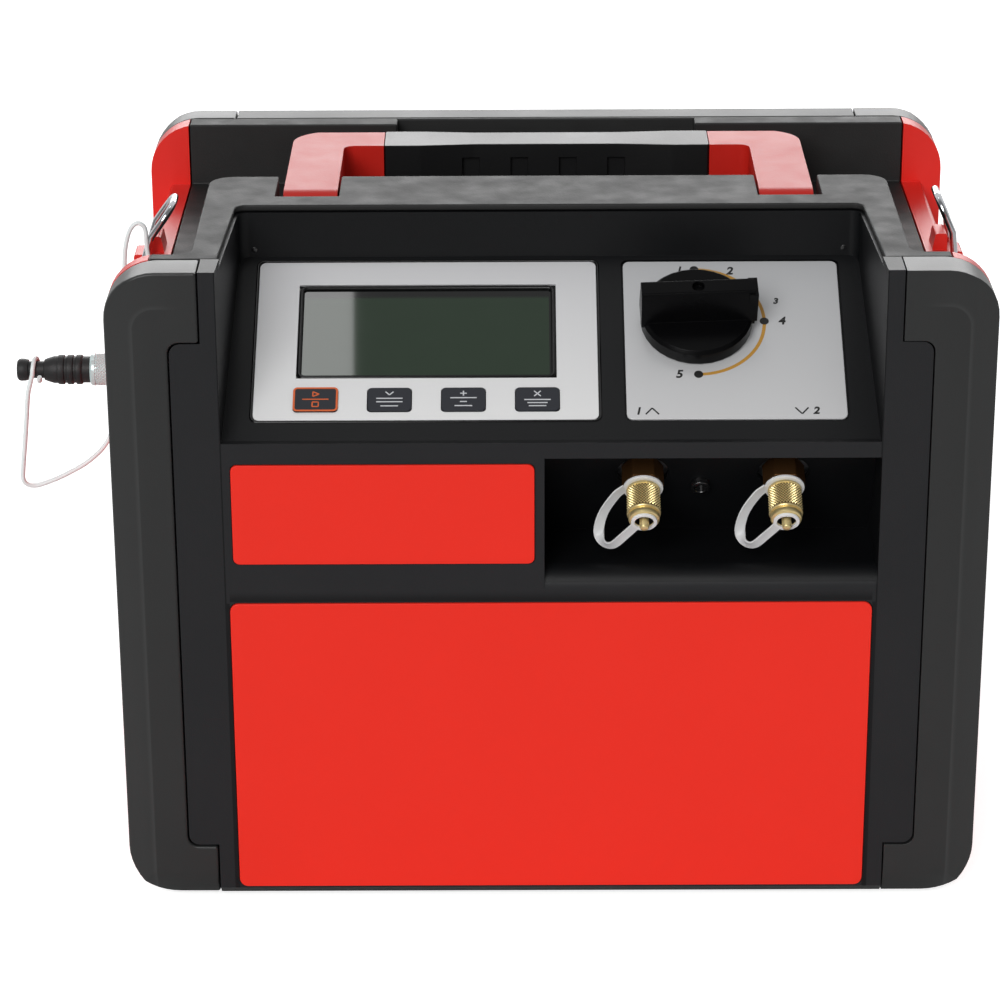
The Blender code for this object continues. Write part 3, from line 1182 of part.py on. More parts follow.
def make_cap_strap(name, axis, hex_top, cap_top):
    low = hex_top + GAP
    middle = low + STRAP_RING_THICKNESS / 2
    centre = (0.0, 0.0, 0.0)
    strap = ring_shape(f"{name}_cap_strap", STRAP_RING_RADIUS, THREAD_RADIUS + GAP, low,
                       low + STRAP_RING_THICKNESS, centre, parent=axis, steps=SMALL_STEPS)
    end_low = cap_top + GAP
    end_high = end_low + 2 * STRAP_RADIUS
    points = [Vector(point) * MILLIMETRE + Vector((0.0, 0.0, middle)) for point in CAP_STRAP_LOOP]
    points[0].z = middle
    points[-1].z = (end_low + end_high) / 2
    route = smooth_route(points, CAP_STRAP_STEPS)
    join(strap, tube("strap_loop", route, STRAP_RADIUS * CAP_STRAP_THINNING, axis))
    join(strap, ring_shape("end_ring", CAP_RADIUS - WALL, CAP_PIN_RADIUS + GAP, end_low, end_high, centre,
                           parent=axis, steps=SMALL_STEPS))
    finish(strap, "clear_nylon")


def make_plug():
    place = (0.0, SOCKET_DEPTH, SOCKET_HEIGHT)
    behind = WAIST_HALF_WIDTH - 2 * WALL
    socket = turned("sensor_socket", [
        (0.0, SOCKET_END_X), (SOCKET_NECK_RADIUS, SOCKET_END_X), (SOCKET_NECK_RADIUS, SOCKET_NECK_X),
        (SOCKET_FLANGE_RADIUS, SOCKET_NECK_X), (SOCKET_FLANGE_RADIUS, SOCKET_FLANGE_X),
        (SOCKET_NECK_RADIUS, SOCKET_FLANGE_X), (SOCKET_NECK_RADIUS, behind), (0.0, behind)],
        place, FACE_LEFT, steps=SMALL_STEPS)
    finish(socket, "steel", smooth=True)
    inner = SOCKET_NECK_RADIUS + GAP
    lip_start = NUT_END_X - NUT_LIP
    nut = turned("plug_nut", [
        (NUT_RADIUS - NUT_LIP / 2, NUT_END_X), (NUT_RADIUS, NUT_END_X - NUT_LIP / 2),
        (NUT_RADIUS, NUT_START_X), (inner, NUT_START_X), (inner, lip_start), (NUT_LIP_RADIUS, lip_start),
        (NUT_LIP_RADIUS, NUT_END_X)], place, FACE_LEFT, closed=True)
    finish(nut, "steel", smooth=True)
    pin = NUT_LIP_RADIUS - GAP
    start = SOCKET_END_X + GAP
    body = NUT_END_X + GAP
    flare_start = PLUG_END_X - PLUG_FLARE_LENGTH
    neck_start = flare_start - PLUG_NECK_LENGTH
    taper_start = neck_start - PLUG_TAPER_LENGTH
    plug = turned("bypass_plug", [
        (0.0, PLUG_END_X), (PLUG_SHOULDER_RADIUS, PLUG_END_X),
        (PLUG_FLARE_RADIUS, PLUG_END_X - PLUG_FLARE_LENGTH / 4), (PLUG_SHOULDER_RADIUS, flare_start + GAP),
        (PLUG_NECK_RADIUS, flare_start), (PLUG_NECK_RADIUS, neck_start),
        (PLUG_SHOULDER_RADIUS, neck_start - GAP), (PLUG_BODY_RADIUS, taper_start),
        (PLUG_BODY_RADIUS, body), (pin, body), (pin, start), (0.0, start)], place, FACE_LEFT)
    finish(plug, "rubber", smooth=True)
    make_tether()


# Hand-chosen route of the tether after its turn round the plug: x, depth and height in millimetres
TETHER_ROUTE = (
    (-245.6, 75.6, 227.0), (-247.2, 77.0, 214.0), (-248.8, 78.4, 201.0), (-250.4, 79.4, 189.0),
    (-250.8, 80.2, 181.4), (-246.0, 81.2, 178.6), (-238.0, 82.2, 180.6), (-229.0, 83.6, 184.4),
    (-219.5, 85.8, 189.6), (-211.0, 88.4, 198.0), (-206.4, 90.8, 211.0), (-204.2, 93.2, 228.0),
    (-202.6, 96.0, 246.0), (-201.2, 98.8, 263.0), (-200.4, 100.6, 278.0), (-199.6, 101.8, 290.0),
    (-197.2, 102.6, 299.0), (-193.6, 103.0, 302.6), (-190.0, 103.0, 300.0), (-189.4, 103.0, 290.0),
    (-188.3, 103.0, 281.5),
)
TETHER_TURN_STEPS = 12
TETHER_TURN_START = math.radians(200.0)
TETHER_TURN_X = -0.2396
TETHER_TURN_PITCH = 0.0034
TETHER_DROP_POINT = (-243.68, 74.49, 234.5)


def make_tether():
    """One turn round the plug's neck, down to its knot and up to the eye on the side shell."""
    ring = PLUG_NECK_RADIUS + TETHER_RADIUS + GAP
    points = []
    for step in range(TETHER_TURN_STEPS):
        share = step / TETHER_TURN_STEPS
        angle = TETHER_TURN_START + math.tau * share
        points.append(Vector((TETHER_TURN_X - TETHER_TURN_PITCH * share,
                              SOCKET_DEPTH + ring * math.cos(angle),
                              SOCKET_HEIGHT + ring * math.sin(angle))))
    hanging = [Vector(point) * MILLIMETRE for point in (TETHER_DROP_POINT, *TETHER_ROUTE)]
    tether = tube("plug_tether", points + smooth_route(hanging, 2), TETHER_RADIUS)
    return finish(tether, "clear_nylon", smooth=True)


def make_base():
    front = GUARD_DEPTH + GAP
    rear = BODY_DEPTH - REAR_GUARD_DEPTH - GAP
    half = WAIST_HALF_WIDTH
    base = box("base_plate", (-half, front, 0.0), (half, rear, BASE_THICKNESS))
    keep_inside_body(base)
    finish(base, "steel")
    names = ("foot_front_left", "foot_front_right", "foot_rear_left", "foot_rear_right")
    places = [(x, depth) for depth in (FOOT_INSET, BODY_DEPTH - FOOT_INSET) for x in (-FOOT_X, FOOT_X)]
    for name, (x, depth) in zip(names, places):
        foot = turned(name, [(0.0, -GAP), (FOOT_RADIUS, -GAP), (FOOT_RADIUS, -FOOT_HEIGHT / 2),
                             (FOOT_RADIUS - FOOT_TAPER, -FOOT_HEIGHT), (0.0, -FOOT_HEIGHT)],
                      (x, depth, 0.0), steps=SMALL_STEPS)
        finish(foot, "rubber", smooth=True)


def crank_depths():
    """Depth of the middle of each piston rod on the crank pin."""
    return {side: ROD_DEPTH + side * (ROD_WIDTH + GAP) / 2 for side in (-1, 1)}


def make_compressor():
    axis = (SHAFT_X, 0.0, SHAFT_HEIGHT)
    half = CRANKCASE_HALF
    floor = BASE_THICKNESS + GAP
    case = box("crankcase", (SHAFT_X - half, CRANKCASE_FRONT, SHAFT_HEIGHT - half),
               (SHAFT_X + half, CRANKCASE_REAR, SHAFT_HEIGHT + half))
    join(case, box("pedestal", (SHAFT_X - PEDESTAL_HALF, CRANKCASE_FRONT + WALL, floor),
                   (SHAFT_X + PEDESTAL_HALF, CRANKCASE_REAR - WALL, SHAFT_HEIGHT - half + WALL)))
    cut(case, rod_shape("chamber", CRANK_CHAMBER_RADIUS, BEARING_LENGTH - CRANKCASE_REAR,
                        WALL - CRANKCASE_FRONT, axis, FACE_FRONT))
    cut(case, rod_shape("bearing_seat", BEARING_RADIUS + GAP, -CRANKCASE_REAR - WALL, -CRANKCASE_FRONT - WALL,
                        axis, FACE_FRONT))
    depths = crank_depths()
    for side, word in ((-1, "left"), (1, "right")):
        place = (SHAFT_X, depths[side], SHAFT_HEIGHT)
        turn = FACE_RIGHT if side > 0 else FACE_LEFT
        cut(case, rod_shape("cylinder_seat", CYLINDER_BORE, CRANK_CHAMBER_RADIUS / 2, half + WALL, place,
                            turn))
        make_cylinder(f"cylinder_{word}", place, turn, half + GAP)
        make_piston_rod(f"piston_rod_{word}", side, depths[side])
    finish(case, "aluminium")
    make_crankshaft(axis)
    bearing_low = CRANKCASE_REAR - BEARING_LENGTH
    bearing = ring_shape("shaft_bearing", BEARING_RADIUS, SHAFT_RADIUS + GAP, -CRANKCASE_REAR,
                         -bearing_low, axis, FACE_FRONT, steps=SMALL_STEPS)
    finish(bearing, "steel", smooth=True)


def make_cylinder(name, place, turn, start):
    """A finned barrel with its head, open towards the crankcase."""
    end = start + CYLINDER_LENGTH
    outside = [(0.0, end), (CYLINDER_RADIUS, end), (CYLINDER_RADIUS, end - CYLINDER_HEAD)]
    pitch = (CYLINDER_LENGTH - CYLINDER_HEAD) / CYLINDER_FINS
    root = CYLINDER_BORE + WALL
    for index in range(CYLINDER_FINS):
        top = end - CYLINDER_HEAD - index * pitch
        outside += [(root, top), (root, top - pitch / 2), (CYLINDER_RADIUS, top - pitch / 2),
                    (CYLINDER_RADIUS, top - pitch)]
    bore_end = end - CYLINDER_HEAD + WALL
    inside = [(CYLINDER_BORE, start), (CYLINDER_BORE, bore_end), (0.0, bore_end)]
    finish(turned(name, outside + inside, place, turn, steps=SMALL_STEPS), "aluminium")


def make_piston_rod(name, side, depth):
    """A wobble piston: its rod's big end runs on the crank pin, which stands above the shaft at rest."""
    centre = Vector((SHAFT_X, depth, SHAFT_HEIGHT + CRANK_THROW))
    eye = CRANK_PIN_RADIUS + GAP
    outer = eye + WALL
    half = ROD_WIDTH / 2
    rod = ring_shape(name, outer, eye, -half, half, centre, FACE_BACK, steps=SMALL_STEPS)
    head = CRANKCASE_HALF + PISTON_PLACE
    ends = sorted((side * (eye + WALL / 2), side * (head + WALL / 2)))
    bar = box("rod_bar", (SHAFT_X + ends[0], depth - ROD_BAR_HALF, centre.z - ROD_BAR_HALF),
              (SHAFT_X + ends[1], depth + ROD_BAR_HALF, centre.z + ROD_BAR_HALF))
    join(rod, bar)
    turn = FACE_RIGHT if side > 0 else FACE_LEFT
    radius = CYLINDER_BORE - CRANK_THROW - 2 * GAP
    join(rod, rod_shape("piston", radius, head, head + PISTON_LENGTH, centre, turn, steps=SMALL_STEPS))
    finish(rod, "aluminium")


def make_crankshaft(axis):
    """Shaft through the motor and the fan, with the crank pin and its counterweight."""
    pin_front = -(crank_depths()[-1] - ROD_WIDTH / 2 - WALL)
    pin_rear = -(crank_depths()[1] + ROD_WIDTH / 2 + GAP)
    web_rear = pin_rear - 2 * WALL
    fan_end = -(FAN_DEPTH + FAN_LENGTH)
    shaft = rod_shape("crankshaft", SHAFT_RADIUS, fan_end, web_rear + WALL, axis, FACE_FRONT,
                      steps=SMALL_STEPS)
    pin_place = (SHAFT_X, 0.0, SHAFT_HEIGHT + CRANK_THROW)
    join(shaft, rod_shape("crank_pin", CRANK_PIN_RADIUS, pin_rear - WALL / 2, pin_front, pin_place,
                          FACE_FRONT, steps=SMALL_STEPS))
    join(shaft, rod_shape("crank_web", CRANK_PIN_RADIUS + WALL, web_rear, pin_rear, axis, FACE_FRONT,
                          steps=SMALL_STEPS))
    weight_low = SHAFT_HEIGHT - 2 * CRANK_PIN_RADIUS
    join(shaft, box("counterweight", (SHAFT_X - CRANK_PIN_RADIUS, -pin_rear, weight_low),
                    (SHAFT_X + CRANK_PIN_RADIUS, -web_rear, SHAFT_HEIGHT)))
    finish(shaft, "steel")


def make_motor():
    axis = (SHAFT_X, 0.0, SHAFT_HEIGHT)
    floor = BASE_THICKNESS + GAP
    inner = MOTOR_RADIUS - MOTOR_WALL
    shaft_hole = SHAFT_RADIUS + 2 * GAP
    profile = [
        (MOTOR_RADIUS, -MOTOR_FRONT), (MOTOR_RADIUS, -MOTOR_REAR), (shaft_hole, -MOTOR_REAR),
        (shaft_hole, -MOTOR_REAR + MOTOR_WALL), (inner, -MOTOR_REAR + MOTOR_WALL), (inner, -MOTOR_FRONT)]
    housing = turned("motor_housing", profile, axis, FACE_FRONT, closed=True)
    foot = box("motor_foot", (SHAFT_X - MOTOR_FOOT_HALF, MOTOR_FRONT + 2 * WALL, floor),
               (SHAFT_X + MOTOR_FOOT_HALF, MOTOR_REAR - 2 * WALL, SHAFT_HEIGHT - MOTOR_RADIUS + 2 * WALL))
    cut(foot, rod_shape("motor_clearance", inner + WALL / 2, -MOTOR_REAR, -MOTOR_FRONT, axis, FACE_FRONT))
    join(housing, foot)
    finish(housing, "aluminium")
    stator_front = MOTOR_FRONT + 2 * WALL
    stator_rear = MOTOR_REAR - 3 * WALL
    stator = ring_shape("motor_stator", inner - GAP, STATOR_BORE, -stator_rear, -stator_front, axis,
                        FACE_FRONT)
    finish(stator, "steel")
    rotor = ring_shape("motor_rotor", ROTOR_RADIUS, SHAFT_RADIUS + GAP, -stator_rear - WALL,
                       -stator_front + WALL, axis, FACE_FRONT, steps=SMALL_STEPS)
    finish(rotor, "steel", smooth=True)


def make_fan():
    axis = (SHAFT_X, FAN_DEPTH + FAN_LENGTH / 2, SHAFT_HEIGHT)
    half = FAN_LENGTH / 2
    fan = ring_shape("fan", FAN_HUB_RADIUS, SHAFT_RADIUS + GAP, -half, half, axis, FACE_FRONT,
                     steps=SMALL_STEPS)
    spokes = make_empty("fan_axis", axis, FACE_FRONT, machine)
    for index in range(FAN_BLADES):
        turn = math.tau * index / FAN_BLADES
        arm = make_empty(f"blade_arm_{index}", (0.0, 0.0, 0.0), (0.0, 0.0, turn), spokes)
        blade = box("blade", (BLADE_ROOT, -BLADE_HALF_WIDTH, -WALL / 3),
                    (FAN_RADIUS, BLADE_HALF_WIDTH, WALL / 3), arm)
        blade.rotation_euler = (BLADE_PITCH, 0.0, 0.0)
        join(fan, blade)
    finish(fan, "black_plastic")


def make_condenser():
    floor = BASE_THICKNESS + GAP
    low = (SHAFT_X - CONDENSER_HALF, CONDENSER_FRONT, floor)
    high = (SHAFT_X + CONDENSER_HALF, CONDENSER_REAR, CONDENSER_HEIGHT)
    condenser = box("condenser", low, high)
    pitch = 2 * (CONDENSER_HALF - 2 * WALL) / CONDENSER_FINS
    for index in range(CONDENSER_FINS):
        left = SHAFT_X - CONDENSER_HALF + 2 * WALL + index * pitch + (pitch - FIN_GAP) / 2
        cut(condenser, box("fin_gap", (left, CONDENSER_FRONT - WALL, floor + 3 * WALL),
                           (left + FIN_GAP, CONDENSER_REAR + WALL, CONDENSER_HEIGHT - 3 * WALL)))
    finish(condenser, "aluminium")


def make_pipes():
    """Suction, discharge and return lines, bent round what stands in their way."""
    bend = PIPE_BEND
    top = SHAFT_HEIGHT + CYLINDER_RADIUS + GAP
    over = top + 3 * bend
    head = CRANKCASE_HALF + CYLINDER_LENGTH - CYLINDER_HEAD / 2
    left_head = SHAFT_X - head
    right_head = SHAFT_X + head
    front_rod, rear_rod = crank_depths().values()
    manifold_middle = (MANIFOLD_LOW + MANIFOLD_HIGH) / 2
    start = slope_point(PORT_X[0], manifold_middle, MANIFOLD_BOTTOM - GAP)
    suction = [
        start, start + Vector((0.0, bend, -2 * bend)),
        Vector((PORT_X[0] - bend, start.y, (start.z - 2 * bend + over) / 2)), Vector((0.0, front_rod, over)),
        Vector((left_head + 5 * bend, front_rod, over)), Vector((left_head + bend, front_rod, over)),
        Vector((left_head, front_rod, over - bend)), Vector((left_head, front_rod, top + PIPE_SEAT))]
    finish(tube("suction_pipe", smooth_route(suction, PIPE_STEPS), PIPE_RADIUS), "copper", smooth=True)
    middle = (CONDENSER_FRONT + CONDENSER_REAR) / 2
    down_x = SHAFT_X + DISCHARGE_FROM_MIDDLE
    crest = CONDENSER_HEIGHT + 2 * bend
    discharge = [
        Vector((right_head, rear_rod, top + PIPE_SEAT)), Vector((right_head, rear_rod, over - bend)),
        Vector((right_head, rear_rod + 2 * bend, over)),
        Vector((right_head - bend / 2, MOTOR_REAR - 4 * bend, crest - bend)),
        Vector((down_x, FAN_DEPTH, crest)), Vector((down_x, middle - bend / 2, crest)),
        Vector((down_x, middle, crest - bend)), Vector((down_x, middle, CONDENSER_HEIGHT + GAP))]
    finish(tube("discharge_pipe", smooth_route(discharge, PIPE_STEPS), PIPE_RADIUS), "copper", smooth=True)
    end = slope_point(MANIFOLD_RIGHT + GAP, manifold_middle, (MANIFOLD_TOP + MANIFOLD_BOTTOM) / 2)
    side = end.x + PIPE_SIDE_ROOM
    left_end = SHAFT_X + CONDENSER_HALF + GAP
    back = [
        Vector((left_end, middle, RETURN_HEIGHT)), Vector((left_end + 2 * bend, middle, RETURN_HEIGHT)),
        Vector((side - 4 * bend, middle - 2 * bend, RETURN_HEIGHT)),
        Vector((side - bend / 2, middle - 5 * bend, RETURN_HEIGHT)),
        Vector((side, CRANKCASE_REAR, 2 * RETURN_HEIGHT)),
        Vector((side, end.y + bend, SHAFT_HEIGHT + 3 * bend)),
        Vector((side, end.y, end.z - 3 * bend)), Vector((side - bend / 2, end.y, end.z - bend / 2)),
        Vector((end.x + bend, end.y, end.z)), end]
    finish(tube("return_pipe", smooth_route(back, PIPE_STEPS), PIPE_RADIUS), "copper", smooth=True)


def make_rear():
    front = BODY_DEPTH - REAR_GUARD_DEPTH
    wide = FASCIA_WIDE_X - SEAM / 2 - WALL
    face = BODY_DEPTH - FASCIA_SETBACK
    cover = slab("rear_cover", centre_outline(), front, face, "front")
    wedge = foot_wedge(face, -1, FASCIA_CHAMFER_HEIGHT)
    cut(cover, slab("foot_wedge", wedge, -HALF_WIDTH, HALF_WIDTH, "side"))
    seam = GUARD_SEAM_X - SEAM / 2 - WALL
    back_wall = BODY_DEPTH - FASCIA_SETBACK - WALL
    cut(cover, box("hollow", (-wide, front - WALL, SEAM_STEP_LOW + WALL + SEAM),
                   (wide, back_wall, SEAM_STEP_HIGH - WALL - SEAM)))
    cut(cover, box("hollow", (-seam, front - WALL, WALL), (seam, back_wall, BODY_HEIGHT - WALL)))
    pitch = 2 * GRILLE_RADIUS / GRILLE_SLOTS
    for index in range(GRILLE_SLOTS):
        offset = (index - (GRILLE_SLOTS - 1) / 2) * pitch
        chord = math.sqrt(GRILLE_RADIUS ** 2 - offset ** 2)
        height = SHAFT_HEIGHT + offset
        cut(cover, box("grille_slot", (SHAFT_X - chord, back_wall - WALL, height - GRILLE_SLOT_WIDTH / 2),
                       (SHAFT_X + chord, BODY_DEPTH + WALL, height + GRILLE_SLOT_WIDTH / 2)))
    half = INLET_WIDTH / 2 + GAP
    tall = INLET_TALL / 2 + GAP
    cut(cover, box("inlet_cutout", (INLET_X - half, back_wall - WALL, INLET_HEIGHT - tall),
                   (INLET_X + half, BODY_DEPTH + WALL, INLET_HEIGHT + tall)))
    finish(cover, "black_plastic")
    make_power_inlet(back_wall)


def make_power_inlet(back_wall):
    """A flanged appliance inlet, fixed from inside, with its hollow open to the back."""
    half = INLET_WIDTH / 2
    tall = INLET_TALL / 2
    inlet = box("power_inlet", (INLET_X - half, back_wall - 6 * WALL, INLET_HEIGHT - tall),
                (INLET_X + half, BODY_DEPTH - FASCIA_SETBACK, INLET_HEIGHT + tall))
    flange_tall = tall + WALL / 2
    flange_half = INLET_FLANGE / 2
    join(inlet, box("inlet_flange", (INLET_X - flange_half, back_wall - WALL, INLET_HEIGHT - flange_tall),
                    (INLET_X + flange_half, back_wall - GAP, INLET_HEIGHT + flange_tall)))
    inside = half - WALL / 2
    inside_tall = tall - WALL / 2
    cut(inlet, box("inlet_hollow", (INLET_X - inside, back_wall - 4 * WALL, INLET_HEIGHT - inside_tall),
                   (INLET_X + inside, BODY_DEPTH + WALL, INLET_HEIGHT + inside_tall)))
    contact_half = WALL / 3
    for offset in (-1, 0, 1):
        middle = INLET_X + offset * half / 2
        contact_rear = back_wall - 4 * WALL - WALL / 2
        join(inlet, box("contact", (middle - contact_half, contact_rear, INLET_HEIGHT - WALL / 2),
                        (middle + contact_half, back_wall - contact_half, INLET_HEIGHT + WALL)))
    finish(inlet, "rubber")


make_guards()
make_front_fascia()
make_front_plates()
make_main_housing()
make_handle()
for ring_side, ring_word in RING_SIDES.items():
    make_side_shell(ring_side, ring_word)
    make_strap_ring(ring_side, ring_word)
make_display()
make_valve()
for port_name, port_axis in zip(PORT_NAMES, port_axes):
    make_port(port_name, port_axis)
make_plug()
make_base()
make_compressor()
make_motor()
make_fan()
make_condenser()
make_pipes()
make_rear()
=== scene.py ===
# %% [markdown]
# # A refrigerant recovery machine in its black and red case
#
# The machine pumps refrigerant out of a cooling system before it is opened for repair. Its case is
# a dark moulded box with two thick corner guards in front, red sides, a red carrying handle and a
# sloping console. The frame already holds every solid in its place. This lesson gives each one the
# finish and the small shapes that a camera sees.

# %% Load the frame
import json
import math

import bmesh
import bpy
from mathutils import Matrix, Vector

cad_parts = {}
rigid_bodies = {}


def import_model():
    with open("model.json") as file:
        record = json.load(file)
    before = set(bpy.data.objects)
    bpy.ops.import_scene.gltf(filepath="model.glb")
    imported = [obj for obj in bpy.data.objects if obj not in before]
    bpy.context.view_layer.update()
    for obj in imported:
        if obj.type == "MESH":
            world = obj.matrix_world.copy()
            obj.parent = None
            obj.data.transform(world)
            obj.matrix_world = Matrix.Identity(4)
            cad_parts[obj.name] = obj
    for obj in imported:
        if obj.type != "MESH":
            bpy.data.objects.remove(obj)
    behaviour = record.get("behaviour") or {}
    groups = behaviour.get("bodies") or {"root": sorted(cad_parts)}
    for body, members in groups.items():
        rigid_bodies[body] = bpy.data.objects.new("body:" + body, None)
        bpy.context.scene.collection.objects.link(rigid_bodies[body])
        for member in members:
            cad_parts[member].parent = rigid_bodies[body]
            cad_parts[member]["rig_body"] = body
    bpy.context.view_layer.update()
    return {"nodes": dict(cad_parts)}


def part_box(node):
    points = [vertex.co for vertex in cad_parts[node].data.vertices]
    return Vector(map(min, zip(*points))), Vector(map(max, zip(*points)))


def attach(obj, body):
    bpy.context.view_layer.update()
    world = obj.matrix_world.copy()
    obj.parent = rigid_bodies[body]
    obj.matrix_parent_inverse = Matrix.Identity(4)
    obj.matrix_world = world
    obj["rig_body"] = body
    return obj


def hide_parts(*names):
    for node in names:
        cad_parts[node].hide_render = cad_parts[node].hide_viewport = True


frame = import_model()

nodes = frame["nodes"]
print("solids in the frame:", len(nodes))

# %% [markdown]
# ## The camera
#
# The photograph was taken a little above the machine with a long lens, so its sides stay nearly
# parallel. A long focal length and a camera 1.6 m in front repeat that. The turn is built from its
# three axes, because a rotation written as axes can be read as directions in the room.

# %% Place the camera
MM = 0.001
CAMERA_PLACE = Vector((-0.01752, -1.6036, 0.80543))
YAW, PITCH, ROLL = (math.radians(angle) for angle in (-0.22, 22.15, -0.29))

forward = Vector((math.sin(YAW) * math.cos(PITCH), math.cos(YAW) * math.cos(PITCH), -math.sin(PITCH)))
level_right = Vector((math.cos(YAW), -math.sin(YAW), 0.0))
level_up = level_right.cross(forward)
camera_right = level_right * math.cos(ROLL) + level_up * math.sin(ROLL)
camera_up = level_up * math.cos(ROLL) - level_right * math.sin(ROLL)

lens = bpy.data.cameras.new("camera")
lens.lens = 126.14
lens.sensor_width = 36.0
camera = bpy.data.objects.new("camera", lens)
bpy.context.scene.collection.objects.link(camera)
axes = Matrix((camera_right, camera_up, -forward)).transposed()
camera.matrix_world = Matrix.Translation(CAMERA_PLACE) @ axes.to_4x4()
bpy.context.scene.camera = camera
print("camera", [round(value, 3) for value in CAMERA_PLACE], "lens", lens.lens)

# %% [markdown]
# ## The plug's tether
#
# A thin nylon line keeps the dust plug from being lost. It is tied once round the plug's neck,
# hangs down in a soft loop and goes back to an eye at the top of the left side. It is a curve with
# a round section, because a curve keeps its real length and can be measured.

# %% Lay the tether along its route
TETHER_RADIUS = 0.0011
PLUG_Y, PLUG_Z = -0.052, 0.241
BODY_TO_WORLD = Vector((0.0, -0.132, 0.003))
NECK_TURN_RADIUS = 0.0054
NECK_TURN_X, NECK_TURN_PITCH = -0.2396, 0.0034
NECK_TURN_START = math.radians(200.0)
TETHER_DROP = (-243.68, 74.49, 234.5)
TETHER_ROUTE = (
    (-245.6, 75.6, 227.0), (-247.2, 77.0, 214.0), (-248.8, 78.4, 201.0), (-250.4, 79.4, 189.0),
    (-250.6, 80.2, 181.4), (-246.0, 81.2, 178.6), (-238.0, 82.2, 180.6), (-229.0, 83.6, 184.4),
    (-219.5, 85.8, 189.6), (-211.0, 88.4, 198.0), (-206.4, 90.8, 211.0), (-204.2, 93.2, 228.0),
    (-202.6, 96.0, 246.0), (-201.2, 98.8, 263.0), (-200.4, 100.6, 278.0), (-199.6, 101.8, 290.0),
    (-197.2, 102.6, 299.0), (-193.6, 103.0, 302.6), (-190.0, 103.0, 300.0), (-189.4, 103.0, 290.0),
    (-188.3, 103.0, 281.5),
)


def smooth_route(points, per_span):
    """Points along a smooth curve that passes through every given point."""
    route = []
    ends = [points[0] * 2 - points[1], *points, points[-1] * 2 - points[-2]]
    for index in range(len(points) - 1):
        a, b, c, d = ends[index:index + 4]
        for step in range(per_span):
            t = step / per_span
            bend = (2 * a - 5 * b + 4 * c - d) * t * t + (3 * b - a - 3 * c + d) * t ** 3
            route.append(0.5 * (2 * b + (c - a) * t + bend))
    route.append(points[-1])
    return route


def neck_turn(steps):
    """One turn of the line round the plug's neck."""
    turn = []
    for step in range(steps):
        share = step / steps
        angle = NECK_TURN_START + math.tau * share
        turn.append(Vector((NECK_TURN_X - NECK_TURN_PITCH * share,
                            PLUG_Y + NECK_TURN_RADIUS * math.cos(angle),
                            PLUG_Z + NECK_TURN_RADIUS * math.sin(angle))))
    return turn


def link(name, data):
    """A new object with this mesh or curve, linked to the scene."""
    piece = bpy.data.objects.new(name, data)
    bpy.context.scene.collection.objects.link(piece)
    return piece


hanging = [Vector(point) * MM + BODY_TO_WORLD for point in (TETHER_DROP, *TETHER_ROUTE)]
tether_points = neck_turn(24) + smooth_route(hanging, 4)
tether_curve = bpy.data.curves.new("tether", "CURVE")
tether_curve.dimensions = "3D"
tether_curve.bevel_depth = 1.0
tether_curve.bevel_resolution = 3
tether_curve.use_fill_caps = True
tether_line = tether_curve.splines.new("POLY")
tether_line.points.add(len(tether_points) - 1)
for spot, point in zip(tether_line.points, tether_points):
    spot.co = (*point, 1.0)
    spot.radius = TETHER_RADIUS
tether = link("tether_line", tether_curve)
tether_length = sum((b - a).length for a, b in zip(tether_points, tether_points[1:]))
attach(tether, "machine")
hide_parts("plug_tether")
print("tether length", round(tether_length, 4))

# %% [markdown]
# ## Writing shader maths as sums
#
# Every material below is a small net of nodes. `Wire` wraps a socket so that a sum such as
# `1 - mask * 0.3` adds the Math nodes by itself. `Net` adds any other node with one method: first
# its settings, then the values or links of its sockets. The same method also builds the geometry
# trees later on.

# %% Helpers for nodes


class Wire:
    """An output socket that can be used in sums."""

    def __init__(self, net, socket):
        self.net = net
        self.socket = socket

    def maths(self, operation, first, second):
        return self.net.node("ShaderNodeMath", {"operation": operation}, {0: first, 1: second})

    def __add__(self, other):
        return self.maths("ADD", self, other)

    def __sub__(self, other):
        return self.maths("SUBTRACT", self, other)

    def __rsub__(self, other):
        return self.maths("SUBTRACT", other, self)

    def __mul__(self, other):
        return self.maths("MULTIPLY", self, other)

    def __gt__(self, other):
        return self.maths("GREATER_THAN", self, other)

    def __lt__(self, other):
        return self.maths("LESS_THAN", self, other)

    def __abs__(self):
        return self.net.node("ShaderNodeMath", {"operation": "ABSOLUTE"}, {0: self})

    def above_zero(self):
        return self.maths("MAXIMUM", self, 0.0)

    __radd__ = __add__
    __rmul__ = __mul__


class Net:
    """A node tree with one method that adds any node and wires it up."""

    def __init__(self, tree):
        self.tree = tree

    def node(self, kind, settings=None, values=None, output=0):
        new = self.tree.nodes.new(kind)
        for key, value in (settings or {}).items():
            if key == "stops":
                self.set_stops(new.color_ramp.elements, value)
            else:
                setattr(new, key, value)
        for key, value in (values or {}).items():
            self.feed(new.inputs[key], value)
        return Wire(self, new.outputs[output]) if new.outputs else new

    def feed(self, socket, value):
        if isinstance(value, Wire):
            self.tree.links.new(value.socket, socket)
        else:
            socket.default_value = value

    def set_stops(self, elements, stops):
        while len(elements) < len(stops):
            elements.new(1.0)
        for element, (place, colour) in zip(elements, stops):
            element.position = place
            element.color = (*colour, 1.0)


print("helpers ready")

# %% [markdown]
# ## The studio
#
# The machine stands on a white floor in a white room. A sun with a wide angle, from the front left
# above, gives the soft shadow. A long light panel behind the machine gives the pale shine on all
# its top faces, because shine is strongest where a surface is seen at a flat angle. A small card
# high above is placed for the display's glass, and shiny surfaces alone show it. The room looks
# white to the camera, but is dimmer in front where it is mirrored, so black plastic stays black.

